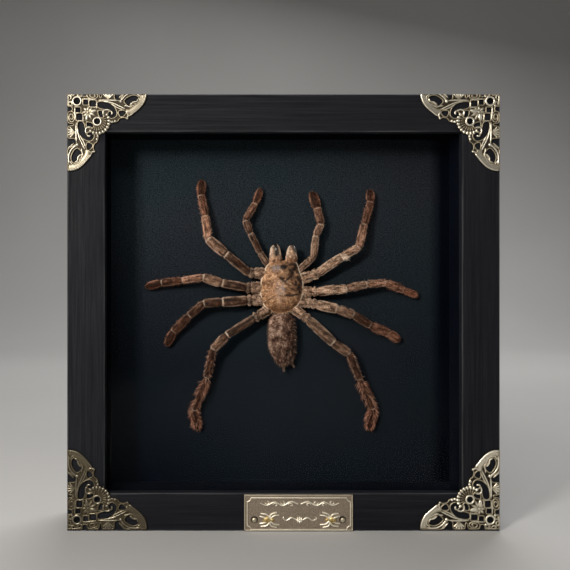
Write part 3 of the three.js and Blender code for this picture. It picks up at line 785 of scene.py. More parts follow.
HALF_OUTLINE = [
    (0.6, 0.6), (8.0, 0.6), (15.5, 0.6), (16.5, 4.5), (19.3, 4.8), (20.5, 1.5), (22.5, 0.6), (26.5, 0.4),
    (31, 0.6), (33, 2.5), (33.9, 6.8), (34.8, 2), (36.5, 0.6), (41, 0.4), (46.5, 0.6), (48.2, 3),
    (48.6, 7.8), (52.2, 9), (55.5, 4.5), (58.5, 0.6), (65, 0.4), (72, 0.5), (79.5, 0.6), (80.2, 3.5),
    (79.4, 9), (76.5, 14.3), (71, 19.5), (66.5, 22.6), (62.8, 25.5), (61.6, 28), (60, 29), (57.7, 27.4),
    (53.5, 28.2), (51.2, 31), (47, 32.2),
]
SHELL = (30.5, 30.5)
NAIL_RING = (10.3, 10.3)
HALF_HOLES = {
    "small_lattice": [
        (16.9, 9.0), (19.0, 8.8), (21.2, 9.0), (21.4, 11.2), (21.2, 13.6), (19.0, 13.8), (16.9, 13.6),
        (16.7, 11.3),
    ],
    "large_lattice": [
        (23.2, 10.2), (26.2, 9.9), (29.2, 10.2), (29.4, 12.6), (29.2, 15.2), (26.2, 15.5), (23.2, 15.2),
        (23.0, 12.6),
    ],
    "scroll": [
        (31.6, 11.6), (38.8, 11.6), (43.9, 13.4), (47.9, 17.4), (49.7, 21.9), (49, 25.2), (45.6, 27.2),
        (42.4, 26.3), (41.3, 24), (42, 21.8), (44.3, 20.4), (43.6, 19.2), (38.8, 18.4), (31.9, 16.4),
    ],
    "beside_shell": [(31.9, 20.2), (36.2, 21.2), (36.4, 25.8), (34.6, 26.6), (32.4, 24.6)],
    "beside_stem": [(52.2, 20.6), (58.8, 20.8), (57.2, 24.4), (53.8, 25.4)],
    "tip": [
        (57.8, 10.2), (61.5, 6.6), (66.5, 4.8), (71, 6.2), (72.2, 9.5), (70, 12.2), (66.5, 12), (63, 14.8),
        (60, 13.6),
    ],
    "curl_pit": [(2.0, 6.2), (3.2, 6.0), (3.4, 7.6), (2.2, 8.0)],
    "second_curl_pit": [(3.2, 12.2), (4.4, 12.4), (4.4, 13.8), (3.2, 13.8)],
}
# Raised lines: a radius and the points that the line runs through.
HALF_LINES = {
    "upper_stem": (0.95, [(31, 9.6), (42, 9.4), (53, 9.9)]),
    "middle_stem": (0.9, [(36, 10.6), (45, 12), (53, 15.5), (60.5, 19.2)]),
    "lower_stem": (0.85, [(44, 12.8), (51, 17), (58, 19.6)]),
    "inner_curl": (0.95, [(36.4, 25), (36.6, 20.6), (39.5, 18.9), (44, 20)]),
    "curl_tip": (1.1, [(44, 20), (45.4, 22), (44.6, 24)]),
    "twig": (0.8, [(52, 7.6), (55, 4.2), (58, 0.8)]),
    "tip_rim": (0.95, [(53.7, 10.7), (57.5, 6), (62, 3), (68, 2), (74, 2.5)]),
    "tip_crescent": (0.9, [(63, 14.2), (66.5, 11.4), (70.2, 10.6), (71.6, 7.5)]),
    "tip_inner_rim": (
        0.85,
        [
            (57, 15.0), (60.5, 15.2), (63.5, 16.2), (67.5, 14.4), (71.5, 12.4), (73.9, 8.5), (73.4, 5.4),
            (70, 3.2),
        ],
    ),
    "tip_outer_ridge": (1.15, [(62.6, 25.2), (66.6, 22.0), (71.4, 18.0), (76.2, 12.6), (78.8, 6), (79.0, 2)]),
    "bracket": (0.85, [(58.8, 20.8), (61.5, 24), (60, 28)]),
    "lattice_bar": (0.85, [(15.2, 8.2), (22, 8.4), (30, 9.2)]),
    "lattice_cross": (0.8, [(22.1, 8.6), (22.2, 14.6)]),
    "second_cross": (0.85, [(30.0, 9.4), (30.1, 18.2)]),
    "lattice_foot": (0.8, [(22.3, 16.3), (26, 16.4), (30, 17.2)]),
    "corner_edge": (0.8, [(15, 2), (9, 1.5), (3.2, 1.5)]),
    "corner_curl": (0.75, [(1.4, 9.0), (1.4, 5.4), (3.4, 4.4), (4.6, 6.4), (3.6, 8.6)]),
    "second_curl": (0.7, [(2.2, 15.0), (2.0, 11.4), (4.4, 10.6), (5.6, 12.6), (4.6, 14.6)]),
}
# The broad flat gold band round the tip: its radius and flatness, and the points that it runs through.
TIP_BAND = (3.3, 0.27, [(59.5, 21.0), (64, 20.4), (69, 16.8), (73.6, 11.8), (76.2, 6.5), (76.2, 2.2)])
LEAF, LEAF_REACH = (21.4, 21.4), 9.5
LEAF_LOBES = [  # broad flat lobes: the heading in degrees, the reach and the width
    (225, 6.6, 1.7), (180, 6.2, 1.6), (270, 6.2, 1.6), (137, 6.4, 1.5), (313, 6.4, 1.5),
    (-12, 9.6, 2.2), (102, 9.6, 2.2), (26, 8.6, 1.6), (64, 8.6, 1.6),
]
HALF_BEADS = [(53.9, 10.5, 1.9), (48.5, 30.3, 1.6), (45.5, 31.0, 1.5), (60.6, 27.6, 1.3), (14.9, 5.6, 1.2)]


def swapped(points):
    """Pattern points mirrored in the diagonal."""
    return [(v, u) for u, v in points]


def towards(angle):
    """A step of length 1 at an angle from the pattern's first edge."""
    return np.array([math.cos(angle), math.sin(angle)])


def pushed_out(ring, amount):
    """A closed outline moved outwards by an amount, or inwards where that is negative."""
    ring = np.asarray(ring, float)
    heading = unit(np.roll(ring, -1, 0) - np.roll(ring, 1, 0))
    area = np.sum(ring[:, 0] * np.roll(ring[:, 1], -1) - np.roll(ring[:, 0], -1) * ring[:, 1])
    outwards = np.stack([heading[:, 1], -heading[:, 0]], 1) * math.copysign(1, area)
    return ring + outwards * amount


def on_front(path, lift=0.0):
    """Pattern points in millimetres, on the middle of the raised lines."""
    path = np.asarray(path, float) * UNIT
    return np.stack([path[:, 0], np.full(len(path), RIDGE_Y - lift), path[:, 1]], 1)


def shell_parts():
    """The shell on the diagonal: fine ribs round a hole, then domed scallops."""
    ribs, spacing = 11, 16
    parts = []
    for i in range(ribs):
        angle = math.radians(45 + (i - ribs // 2) * spacing)
        way = towards(angle)
        rib = [np.array(SHELL) + way * reach for reach in (5.4, 7.4, 9.2)]
        parts.append(tube(on_front(rib), np.array([0.45, 0.62, 0.8]) * UNIT))
        middle = on_front([np.array(SHELL) + way * 11.8])[0]
        parts.append(blob(middle, (2.2 * UNIT, 0.7, 1.45 * UNIT), -angle))
    return parts


def fan_parts():
    """The small fan leaf between the edge and the stems: five petals from one foot."""
    foot = np.array([41.4, 8.4])
    tips = [(36.6, 3.4), (38.6, 1.7), (41.4, 1.2), (44.2, 1.7), (46.4, 3.4)]
    return [tube(on_front([foot, (foot + tip) / 2, tip]), np.array([0.6, 1.0, 1.15]) * UNIT) for tip in tips]


def spiral_parts():
    """The oval spiral beside the nail ring."""
    turns = np.linspace(0, 3.4 * math.pi, 34)
    shrink = 1 - 0.22 * turns / math.pi
    path = np.stack([26.5 - 6.0 * shrink * np.cos(turns), 4.9 + 3.7 * shrink * np.sin(turns)], 1)
    return [tube(on_front(path), 0.8 * UNIT)]


def corner_parts():
    """Every closed solid of one corner: the pierced plate and all that is raised on it."""
    half = smooth_path(HALF_OUTLINE, 4)
    shell_arc = [np.array(SHELL) + 13.2 * towards(a) for a in np.linspace(0.10, math.pi / 2 - 0.10, 14)]
    outline = np.vstack([half, shell_arc, np.array(swapped(half))[::-1][:-1]])
    holes = [circle(SHELL, 3.0), circle(NAIL_RING, 3.3)]
    rims = [ROUND_RIM] * len(holes)
    for hole in HALF_HOLES.values():
        holes += [smooth_path(hole, 4, closed=True), smooth_path(swapped(hole), 4, closed=True)]
        rims += [FINE_RIM] * 2
    flat_holes = [hole * UNIT for hole in holes]
    parts = [sheet_with_holes(outline * UNIT, flat_holes, PLATE_BACK, PLATE_FRONT)]
    for hole, width in zip(holes, rims):
        parts.append(tube(on_front(pushed_out(hole, width * 0.75)), width * UNIT, closed=True))
    parts.append(tube(on_front(pushed_out(outline, -0.75)), EDGE_RIM * UNIT, closed=True))
    swell = np.sin(np.linspace(0.5, math.pi - 0.45, 8))
    for heading, reach, width in LEAF_LOBES:
        way = towards(math.radians(heading))
        path = [np.array(LEAF) + way * share * reach for share in np.linspace(0.12, 1, 8)]
        parts.append(tube(on_front(path), width * UNIT * swell, flat=0.62))
    parts.append(blob(on_front([LEAF])[0] + [0, 0.05, 0], (2.0 * UNIT, 0.6, 2.0 * UNIT)))
    radius, flatness, points = TIP_BAND
    for along in (points, swapped(points)):
        parts.append(tube(on_front(smooth_path(along, 5)), radius * UNIT, 12, flat=flatness))
    halves = list(HALF_LINES.values())
    for radius, points in halves + [(radius, swapped(points)) for radius, points in halves]:
        path = smooth_path(points, 5)
        from_end = np.minimum(np.arange(len(path)), np.arange(len(path))[::-1])
        parts.append(tube(on_front(path, 0.08), radius * UNIT * np.minimum(1, 0.55 + 0.25 * from_end)))
    for u, v, radius in HALF_BEADS:
        for middle in ((u, v), (v, u)):
            parts.append(blob(on_front([middle])[0], (radius * UNIT, 0.75, radius * UNIT)))
    mirrored = []
    for points, faces in fan_parts() + spiral_parts():
        mirrored.append((points, faces))
        mirrored.append((points[:, [2, 1, 0]], [face[::-1] for face in faces]))
    return parts + mirrored + shell_parts()


def trimmed(points, faces, low_x, low_z):
    """A mesh with everything beyond two planes cut off and the cuts closed."""
    work = bmesh.new()
    verts = [work.verts.new(point) for point in points]
    for face in faces:
        work.faces.new([verts[index] for index in face])
    for place, normal in (((low_x, 0, 0), (-1, 0, 0)), ((0, 0, low_z), (0, 0, -1))):
        everything = work.verts[:] + work.edges[:] + work.faces[:]
        cut = bmesh.ops.bisect_plane(work, geom=everything, plane_co=place, plane_no=normal, clear_outer=True)
        edges = [part for part in cut["geom_cut"] if isinstance(part, bmesh.types.BMEdge)]
        bmesh.ops.holes_fill(work, edges=edges)
    bmesh.ops.triangulate(work, faces=work.faces)
    work.verts.index_update()
    points = np.array([vert.co for vert in work.verts])
    faces = [[vert.index for vert in face.verts] for face in work.faces]
    work.free()
    return points, faces


def band_tarnish(points):
    """How dull each point of a corner is: the broad bands and the leaf are less rubbed than the lines."""
    bands = [smooth_path(path, 5) for path in (TIP_BAND[2], swapped(TIP_BAND[2]))]
    middles = np.vstack([*bands, [LEAF]]) * UNIT
    away = np.hypot(points[:, :1] - middles[:, 0], points[:, 2:] - middles[:, 1]).min(1)
    on_leaf = np.hypot(points[:, 0] - LEAF[0] * UNIT, points[:, 2] - LEAF[1] * UNIT) < LEAF_REACH * UNIT
    return np.maximum(0.62 * np.clip(1.6 - away / (TIP_BAND[0] * UNIT), 0, 1), 0.30 * on_leaf)


def make_corners():
    """The four corner pieces, from one fused pattern that each turns, slides, trims, tarnishes and darkens
    with painted shade.
    """
    material = antique_bronze("antique_bronze_corner", floor_mm=0.72, crest_mm=1.22)
    points, faces = fused(corner_parts(), voxel=0.13, share=0.28)
    half = FRAME_WIDTH / 2
    top = FRAME_HEIGHT
    corners = {  # how far each slid along its own two edges, how much tarnish and painted shade it has, and where it goes
        "bottom_left": (0, 0.7, 0.86, lambda u, v: (u - half, v)),
        "bottom_right": (0.7, 0, 0.0, lambda u, v: (half - v, u)),
        "top_right": (0, -1.5, 0.20, lambda u, v: (half - u, top - v)),
        "top_left": (-1.5, 0, 0.52, lambda u, v: (v - half, top - u)),
    }
    for place, (slide_u, slide_v, patina, turned) in corners.items():
        slide = np.array([slide_u, 0, slide_v])
        cut_points, cut_faces = trimmed(points + slide, faces, EDGE_INSET, EDGE_INSET)
        dull = band_tarnish(cut_points - slide) * min(1, 0.08 + 1.75 * patina)
        x, z = turned(cut_points[:, 0], cut_points[:, 2])
        moved = np.stack([x, cut_points[:, 1], z], 1)
        tarnish_and_shade = {"patina": patina + (1 - patina) * dull}
        corner = mesh_object(f"corner_{place}_bronze", moved, cut_faces, material, values=tarnish_and_shade)
        as_piece(corner, "bronze", f"corner_{place}")


# ---------------------------------------------------------------- nameplate
LITTLE_SPIDERS = [(-15.1, -3.6, 1), (16.2, -3.6, -1)]  # x, z and the way that each heads along X
PIN_X, PIN_Z, PIN_GAP = (-22.4, 22.4), -3.6, 1.75
ORNAMENT_X, ROSETTE_Z = 0.5, -3.6
RIM_INSET = 0.7  # the rim's middle line is half of this inside the edge
LEG_ENDS = [  # where a little spider's legs bend and end, above or below it
    [(1.0, 2.8), (4.0, 3.8)],
    [(2.4, 2.0), (5.4, 2.4)],
    [(-0.8, 2.6), (-4.1, 3.3)],
    [(-2.2, 1.3), (-4.7, 1.8)],
]


def little_spider_legs(x, z, way):
    """Eight bent legs of a little raised spider, which lies along X and heads the given way."""
    y = FRONT_Y - 1.15
    parts = []
    for bend, end in LEG_ENDS:
        for side in (-1, 1):
            knee = (x + way * bend[0], y - 0.3, z + side * bend[1])
            path = [(x + way * 0.4, y, z), knee, (x + way * end[0], y, z + side * end[1])]
            parts.append(tube(smooth_path(path, 4), 0.42))
    return parts


def little_spider_body(x, z, way):
    """The two round body parts of a little spider."""
    y = FRONT_Y - 1.1
    return [blob((x - way * 0.9, y, z), (2.2, 0.9, 1.95)), blob((x + way * 1.7, y, z), (1.2, 0.75, 1.05))]


def flourish_parts():
    """Generic scrollwork: a long wavy stem with curls over a small rosette with two tendrils."""
    y = FRONT_Y - 1.22
    wave = [(0.6, 4.5), (4.5, 5.6), (8.5, 3.6), (12.5, 5.5), (16.5, 3.8), (20.0, 4.9)]
    tendril = [(1.6, -3.6), (4.0, -2.5), (6.6, -3.8), (8.4, -3.0), (8.0, -2.0)]
    curls = ((4.6, 4.0, 1), (8.4, 5.1, -1), (12.4, 4.0, 1), (16.4, 5.2, -1))  # x, z and the way round
    turns = np.linspace(0, 1.5 * math.pi, 10)
    parts = []

    def drawn(line, side):
        return [(side * x + ORNAMENT_X, y, z) for x, z in line]

    for side in (-1, 1):
        path = smooth_path(drawn(wave, side), 6)
        parts.append(tube(path, np.linspace(0.42, 0.24, len(path))))
        for x, z, way in curls:
            curl = [(x + 1.05 * math.cos(t), z + way * 0.95 * math.sin(t) * (1 - t / 9)) for t in turns]
            parts.append(tube(drawn(curl, side), 0.24))
        path = smooth_path(drawn(tendril, side), 6)
        parts.append(tube(path, np.linspace(0.40, 0.22, len(path))))
    for i in range(8):
        angle = i * math.pi / 4
        petal = (ORNAMENT_X + 1.15 * math.cos(angle), y, ROSETTE_Z + 1.15 * math.sin(angle))
        parts.append(blob(petal, (0.42, 0.5, 0.72), math.pi / 2 - angle))
    parts.append(blob((ORNAMENT_X, y - 0.1, ROSETTE_Z), (0.55, 0.6, 0.55)))
    return parts


def rounded_rectangle(left, right, low, high, notch):
    """A frame line whose corners are scooped out by quarter circles."""
    quarter = math.pi / 2
    out = []
    for x, z, turns in ((right, high, 2), (left, high, 3), (left, low, 0), (right, low, 1)):
        for angle in np.linspace((turns + 1) * quarter, turns * quarter, 6):
            out.append((x + notch * math.cos(angle), z + notch * math.sin(angle)))
    return out


def make_nameplate():
    """The tray with its raised rim and ornament, two little spiders of another metal, and two pins."""
    low, high = box_mm("nameplate")
    width, height = high[0] - low[0], high[2] - low[2]
    right, top = width / 2, height / 2
    middle = np.array([(low[0] + high[0]) / 2, 0, (low[2] + high[2]) / 2])
    edge = [(-right, -top), (right, -top), (right, top), (-right, top)]
    holes = [circle((x, PIN_Z), PIN_GAP, 20) for x in PIN_X]
    parts = [sheet_with_holes(edge, holes, FRONT_Y - 0.1, FRONT_Y - 1.0)]
    line = rounded_rectangle(1.6 - right, right - 1.3, 0.7 - top, top - 1.7, 1.9)
    parts.append(tube([(x, FRONT_Y - 1.02, z) for x, z in line], 0.40, closed=True))
    inset_x, inset_z = 1 - RIM_INSET / width, 1 - RIM_INSET / height
    rim = [np.array((x * inset_x, FRONT_Y - 1.0, z * inset_z)) for x, z in edge]
    round_rim = []
    for corner, following in zip(rim, rim[1:] + rim[:1]):
        round_rim += [corner + (following - corner) * t for t in np.linspace(0.01, 0.99, 12)]
    parts.append(tube(round_rim, 0.34, closed=True))
    for spider in LITTLE_SPIDERS:
        parts += little_spider_legs(*spider)
    parts += flourish_parts()
    points, faces = fused(parts, voxel=0.12, share=0.30, smoothing=2)
    bronze = antique_bronze("antique_bronze_plate", 0.85, 1.40, (0.275, 0.222, 0.180))
    as_piece(mesh_object("nameplate_bronze", points + middle, faces, bronze), "bronze", "nameplate")
    bodies = [part for spider in LITTLE_SPIDERS for part in little_spider_body(*spider)]
    points, faces = joined(bodies)
    as_piece(mesh_object("nameplate_spiders", points + middle, faces, rubbed_gold()), "bronze")
    dark = antique_bronze("antique_bronze_pin", 0.6, 2.6, (0.030, 0.022, 0.015))
    for side in ("left", "right"):
        make_turned(f"nameplate_pin_{side}", "bronze", pin_profile, dark)


# ---------------------------------------------------------------- spider: frame of reference
# The spider is drawn about the middle of its carapace, as in the CAD model: x to the right, z towards
# the head, and the height in front of the board.
SPIDER_X, SPIDER_Z = 0.5, 122.5


def placed(x, z, height):
    """Spider coordinates as points in the row frame."""
    x, z, height = np.broadcast_arrays(np.asarray(x, float), np.asarray(z, float), np.asarray(height, float))
    return np.stack([SPIDER_X + x, BOARD_Y - height, SPIDER_Z + z], -1)


OUT = np.array([0.0, -1.0, 0.0])  # away from the board
BOARD_CLEARANCE = 0.03  # hairs lie down at this height


# ---------------------------------------------------------------- hair
THIRDS = (0, 2.094, 4.189)  # a third of a turn apart


def spikes(roots, ways, lengths, width, bend=None):
    """Thin three-sided hairs. With a bend, each has a middle ring and droops that way."""
    roots, ways = np.asarray(roots), unit(ways)
    lengths = np.asarray(lengths, float)[:, None]
    count = len(roots)
    side = unit(np.cross(ways, np.array([0.31, 0.77, 0.55])))
    other = np.cross(ways, side)
    half = np.broadcast_to(np.asarray(width, float) / 2, count)[:, None]
    ring = [side * math.cos(a) + other * math.sin(a) for a in THIRDS]
    base = [roots + r * half for r in ring]
    if bend is None:
        points = np.stack([*base, roots + ways * lengths], 1)
        pattern = np.array([(0, 1, 3), (1, 2, 3), (2, 0, 3)])
    else:
        middle = roots + ways * lengths * 0.55
        tips = middle + unit(ways + bend) * lengths * 0.45
        points = np.stack([*base, *[middle + r * half * 0.6 for r in ring], tips], 1)
        lower = [(0, 1, 4), (0, 4, 3), (1, 2, 5), (1, 5, 4), (2, 0, 3), (2, 3, 5)]
        pattern = np.array([*lower, (3, 4, 6), (4, 5, 6), (5, 3, 6)])
    each = points.shape[1]
    faces = (pattern[None] + (np.arange(count) * each)[:, None, None]).reshape(-1, 3)
    points = points.reshape(-1, 3)
    points[:, 1] = np.minimum(points[:, 1], BOARD_Y - BOARD_CLEARANCE)
    return points, faces.tolist(), each


class Fur:
    """Hairs gathered from several calls, with numbers for the material, made into one piece."""

    def __init__(self):
        self.parts, self.values = [], {"shade": [], "stage": [], "stain": []}

    def add(self, roots, ways, lengths, width, shade, bend=None, stage=0.0, stain=0.0):
        """More hairs. Each of the numbers is one for all of them or one for each."""
        points, faces, each = spikes(roots, ways, lengths, width, bend)
        self.parts.append((points, faces))
        for name, numbers in {"shade": shade, "stage": stage, "stain": stain}.items():
            self.values[name].append(np.repeat(np.broadcast_to(numbers, len(roots)), each))

    def make(self, name, material, slot):
        """The one piece that all the hairs become."""
        points, faces = joined(self.parts)
        values = {key: np.concatenate(numbers) for key, numbers in self.values.items()}
        return as_piece(mesh_object(name, points, faces, material, values=values), slot)


class Surface:
    """A grid of rings to grow hair on, with outward normals and the way along the rings."""

    def __init__(self, rings):
        self.rings = np.asarray(rings, float)
        ahead = np.gradient(self.rings, axis=0)
        around = np.roll(self.rings, -1, 1) - np.roll(self.rings, 1, 1)
        self.ahead = unit(ahead)
        normal = unit(np.cross(around, ahead))
        outwards = self.rings - self.rings.mean(1, keepdims=True)
        flip = np.sign(np.sum(normal * outwards, -1).mean())
        self.normal = normal * (flip or 1)
        size = np.linalg.norm(ahead, axis=-1) * np.linalg.norm(around, axis=-1)
        self.size = size / size.sum()

    def pick(self, count, wanted=None):
        """Random spots: their ring and side numbers, places, normals and ways along."""
        chance = self.size if wanted is None else self.size * wanted
        chance = chance[:-1].ravel() / chance[:-1].sum()
        sides = self.rings.shape[1]
        cell = rng.choice(len(chance), count, p=chance)
        i, j = cell // sides, cell % sides
        k = (j + 1) % sides
        a, b = rng.uniform(0, 1, (2, count, 1))
        near = self.rings[i, j] * (1 - b) + self.rings[i, k] * b
        far = self.rings[i + 1, j] * (1 - b) + self.rings[i + 1, k] * b
        normal = unit(self.normal[i, j] * (1 - b) + self.normal[i, k] * b)
        return i, j, near * (1 - a) + far * a, normal, self.ahead[i, j]


def scatter(amount, count):
    """Random sideways steps that untidy the hairs' ways."""
    return rng.normal(0, amount, (count, 3))


def shades(middle, spread, count):
    """Random shades round a middle one."""
    return np.clip(rng.normal(middle, spread, count), 0, 1)


# ---------------------------------------------------------------- limbs
# Joints as [x, z, height]: coxa, trochanter, femur, patella, tibia, metatarsus, tarsus and the tip.
# The radii are those of the segments without their hair, and stain is how dark each segment is, from its
# stain and painted shade.
LIMBS = {
    "leg_1_left": {
        "joints": [
            (-9.0, 8.6, 5.4), (-15.0, 9.2, 6), (-17.6, 9.0, 6.5), (-30.1, 19.2, 9), (-39.5, 27.3, 9),
            (-41.1, 39.7, 6.5), (-43.5, 51.1, 4), (-43.1, 59.4, 2.7),
        ],
        "radii": (3.0, 2.7, 2.35, 2.65, 2.15, 2.0, 2.2),
        "stain": (0.45, 0.60, 0.90, 0.55, 0.0, 0.52, 1.0),
    },
    "leg_2_left": {
        "joints": [
            (-10.4, 1.2, 5.4), (-16.8, 1.0, 6), (-19.1, 1.1, 6.5), (-32.2, 3.7, 8.5), (-42.4, 6.6, 8.5),
            (-53.5, 5.0, 6), (-65.1, 3.7, 4), (-73.6, 1.6, 2.7),
        ],
        "radii": (3.0, 2.8, 2.3, 2.45, 1.85, 1.95, 2.0),
        "stain": (0.55, 0.78, 0.76, 0.54, 0.0, 0.88, 1.0),
    },
    "leg_3_left": {
        "joints": [
            (-10.0, -5.6, 5.4), (-16.0, -5.7, 6), (-18.6, -5.9, 6.5), (-32.2, -6.6, 8.5), (-42.0, -7.4, 8),
            (-49.9, -14.2, 6), (-58.5, -22.8, 4), (-62.3, -30.4, 2.7),
        ],
        "radii": (3.0, 2.9, 2.6, 2.3, 2.0, 2.2, 2.25),
        "stain": (0.45, 0.55, 0.82, 0.97, 0.86, 0.89, 1.0),
    },
    "leg_4_left": {
        "joints": [
            (-6.6, -10.4, 5.4), (-12.3, -14.2, 6), (-14.8, -15.3, 6.5), (-29.7, -24.5, 9), (-36.9, -32.1, 9),
            (-40.3, -47.7, 6.5), (-47.6, -65.4, 4), (-45.4, -75.8, 2.7),
        ],
        "radii": (2.7, 2.5, 2.2, 2.35, 1.9, 1.6, 2.2),
        "stain": (0.45, 0.50, 0.86, 0.68, 0.94, 1.0, 1.0),
    },
    "leg_1_right": {
        "joints": [
            (10.0, 5.6, 5.4), (16.4, 7.6, 6), (19.5, 8.8, 6.5), (32.6, 17.9, 9), (41.2, 22.7, 9),
            (44.5, 35.3, 6.5), (48.2, 47.6, 4), (47.9, 54.0, 2.7),
        ],
        "radii": (2.9, 2.8, 2.4, 2.1, 2.0, 1.85, 2.1),
        "stain": (0.0, 0.0, 0.16, 0.12, 0.24, 0.70, 0.94),
    },
    "leg_2_right": {
        "joints": [
            (10.6, -0.8, 5.4), (16.6, -1.2, 6), (19.1, -1.1, 6.5), (35.0, 0.7, 8.5), (45.6, 3.1, 8.5),
            (56.1, 3.6, 6), (66.1, -0.3, 4), (74.2, -3.4, 2.7),
        ],
        "radii": (2.8, 2.7, 2.5, 2.15, 1.9, 2.0, 1.85),
        "stain": (0.25, 0.15, 0.0, 0.40, 0.10, 0.30, 0.05),
    },
    "leg_3_right": {
        "joints": [
            (9.6, -6.6, 5.4), (16.0, -7.2, 6), (18.5, -7.8, 6.5), (29.7, -10.3, 8.5), (38.6, -13.5, 8),
            (47.8, -19.3, 6), (58.4, -23.8, 4), (64.2, -27.6, 2.7),
        ],
        "radii": (2.7, 2.7, 2.65, 2.5, 2.15, 2.25, 2.3),
        "stain": (0.40, 0.28, 0.02, 0.48, 0.91, 0.46, 0.22),
    },
    "leg_4_right": {
        "joints": [
            (6.0, -9.8, 5.4), (12.1, -14.2, 6), (14.2, -16.2, 6.5), (27.8, -28.6, 9), (36.0, -34.3, 9),
            (42.0, -48.5, 6.5), (49.4, -64.8, 4), (47.3, -75.6, 2.7),
        ],
        "radii": (2.6, 2.6, 2.75, 2.5, 1.9, 1.75, 2.3),
        "stain": (0.06, 0.14, 0.64, 0.68, 0.91, 0.73, 0.84),
    },
    "pedipalp_left": {
        "joints": [
            (-6.8, 12.6, 5.4), (-11.6, 19.9, 6), (-16.8, 30.4, 7), (-19.5, 37.4, 6.4), (-14.1, 46.5, 4.4),
            (-11.1, 55.0, 2.6),
        ],
        "radii": (1.75, 1.75, 1.9, 1.75, 1.9),
        "stain": (0.75, 0.86, 0.80, 0.62, 0.76),
    },
    "pedipalp_right": {
        "joints": [
            (9.4, 10.6, 5.4), (17.2, 17.5, 6), (18.4, 29.1, 7), (21.1, 35.3, 6.4), (19.2, 44.1, 4.4),
            (16.6, 53.0, 2.6),
        ],
        "radii": (1.8, 1.8, 1.9, 2.05, 2.5),
        "stain": (0.4, 0.42, 0.25, 0.68, 1.0),
    },
}
FURROWS = {  # the groove along the top of the trochanter, femur and patella, darkened partly as painted shade
    "leg_1_left": (0.3, 0.9, 0.4),
    "leg_2_left": (0.4, 0.6, 0.3),
    "leg_3_left": (0.4, 0.7, 0.5),
    "leg_4_left": (0.5, 1.3, 0.4),
    "leg_1_right": (0.1, 0.35, 0.3),
    "leg_2_right": (0.3, 0.25, 0.45),
    "leg_3_right": (0.4, 0.6, 0.4),
    "leg_4_right": (0.4, 0.9, 0.5),
    "pedipalp_left": (0.6, 0.6, 0.3),
    "pedipalp_right": (0.4, 0.5, 0.5),
}
OUTER_FURROWS = (0.25, 0.15, 0.1)  # on the segments beyond the patella
LEG_STAGES = (0.0, 0.0, 0.05, 0.25, 0.65, 0.9, 1.0)  # from tan to reddish brown
PALP_STAGES = (0.1, 0.1, 0.4, 0.7, 1.0)
LEG_RINGS = (0.3, 0.3, 0.9, 0.8, 0.7, 0.85, 0.0)  # how pale each segment's far end is
PALP_RINGS = (0.3, 0.5, 0.6, 0.75, 0.0)
# How each kind of limb is combed: the number of hairs and their lengths on each segment, then the same for
# its bristles, with their width, how far they lean to the tip and droop, and how much of the stain and
# painted shade they take.
COMBS = {
    "leg": {
        "hairs": 9000, "coat": (0.45, 0.45, 0.5, 0.5, 0.6, 0.7, 0.55),
        "bristles": 420, "reach": (0.9, 0.9, 1.0, 1.0, 1.2, 1.4, 1.1),
        "width": 0.12, "lean": 0.6, "droop": 0.7, "stain_and_shade_share": 0.8,
    },
    "rear": {
        "hairs": 9000, "coat": (0.45, 0.45, 0.5, 0.55, 0.55, 0.6, 0.6),
        "bristles": 620, "reach": (0.8, 0.8, 0.9, 1.2, 1.7, 3.0, 2.2),
        "width": 0.24, "lean": 0.8, "droop": 0.3, "stain_and_shade_share": 0.3,
    },
    "palp": {
        "hairs": 5200, "coat": (0.45, 0.5, 0.5, 0.5, 0.5),
        "bristles": 260, "reach": (0.9, 1.0, 1.0, 1.0, 1.0),
        "width": 0.12, "lean": 0.6, "droop": 0.7, "stain_and_shade_share": 0.8,
    },
}
TUFT_HAIRS = 70
LIMB_SIDES = 24
STEP = 0.5  # between the rings
STREAK = (0.30, 0.85, 1.0)  # how the grain is squeezed to make streaks along the limb


def centreline(joints):
    """Points along a limb with eased bends, each with its segment and how far through it is."""
    joints = placed(*np.array(joints, float).T)
    points, segments, through, lengths = [], [], [], []
    for i in range(len(joints) - 1):
        length = np.linalg.norm(joints[i + 1] - joints[i])
        count = max(5, round(length / STEP))
        for t in np.arange(count) / count:
            points.append(joints[i] * (1 - t) + joints[i + 1] * t)
            segments.append(i)
            through.append(t)
            lengths.append(length)
    points.append(joints[-1])
    segments.append(len(joints) - 2)
    through.append(1.0)
    lengths.append(lengths[-1])
    points = np.array(points)
    for _ in range(3):
        points[1:-1] = (points[:-2] + 2 * points[1:-1] + points[2:]) / 4
    return points, np.array(segments), np.array(through), np.array(lengths)


def eased(values, segments, through):
    """A value for each segment, eased into the next one round each joint."""
    values = np.asarray(values, float)
    ahead = np.clip(segments + 1, 0, len(values) - 1)
    behind = np.clip(segments - 1, 0, len(values) - 1)
    late = np.clip((through - 0.8) / 0.2, 0, 1) ** 2 * 0.5
    early = np.clip((0.2 - through) / 0.2, 0, 1) ** 2 * 0.5
    return values[segments] * (1 - late - early) + values[ahead] * late + values[behind] * early


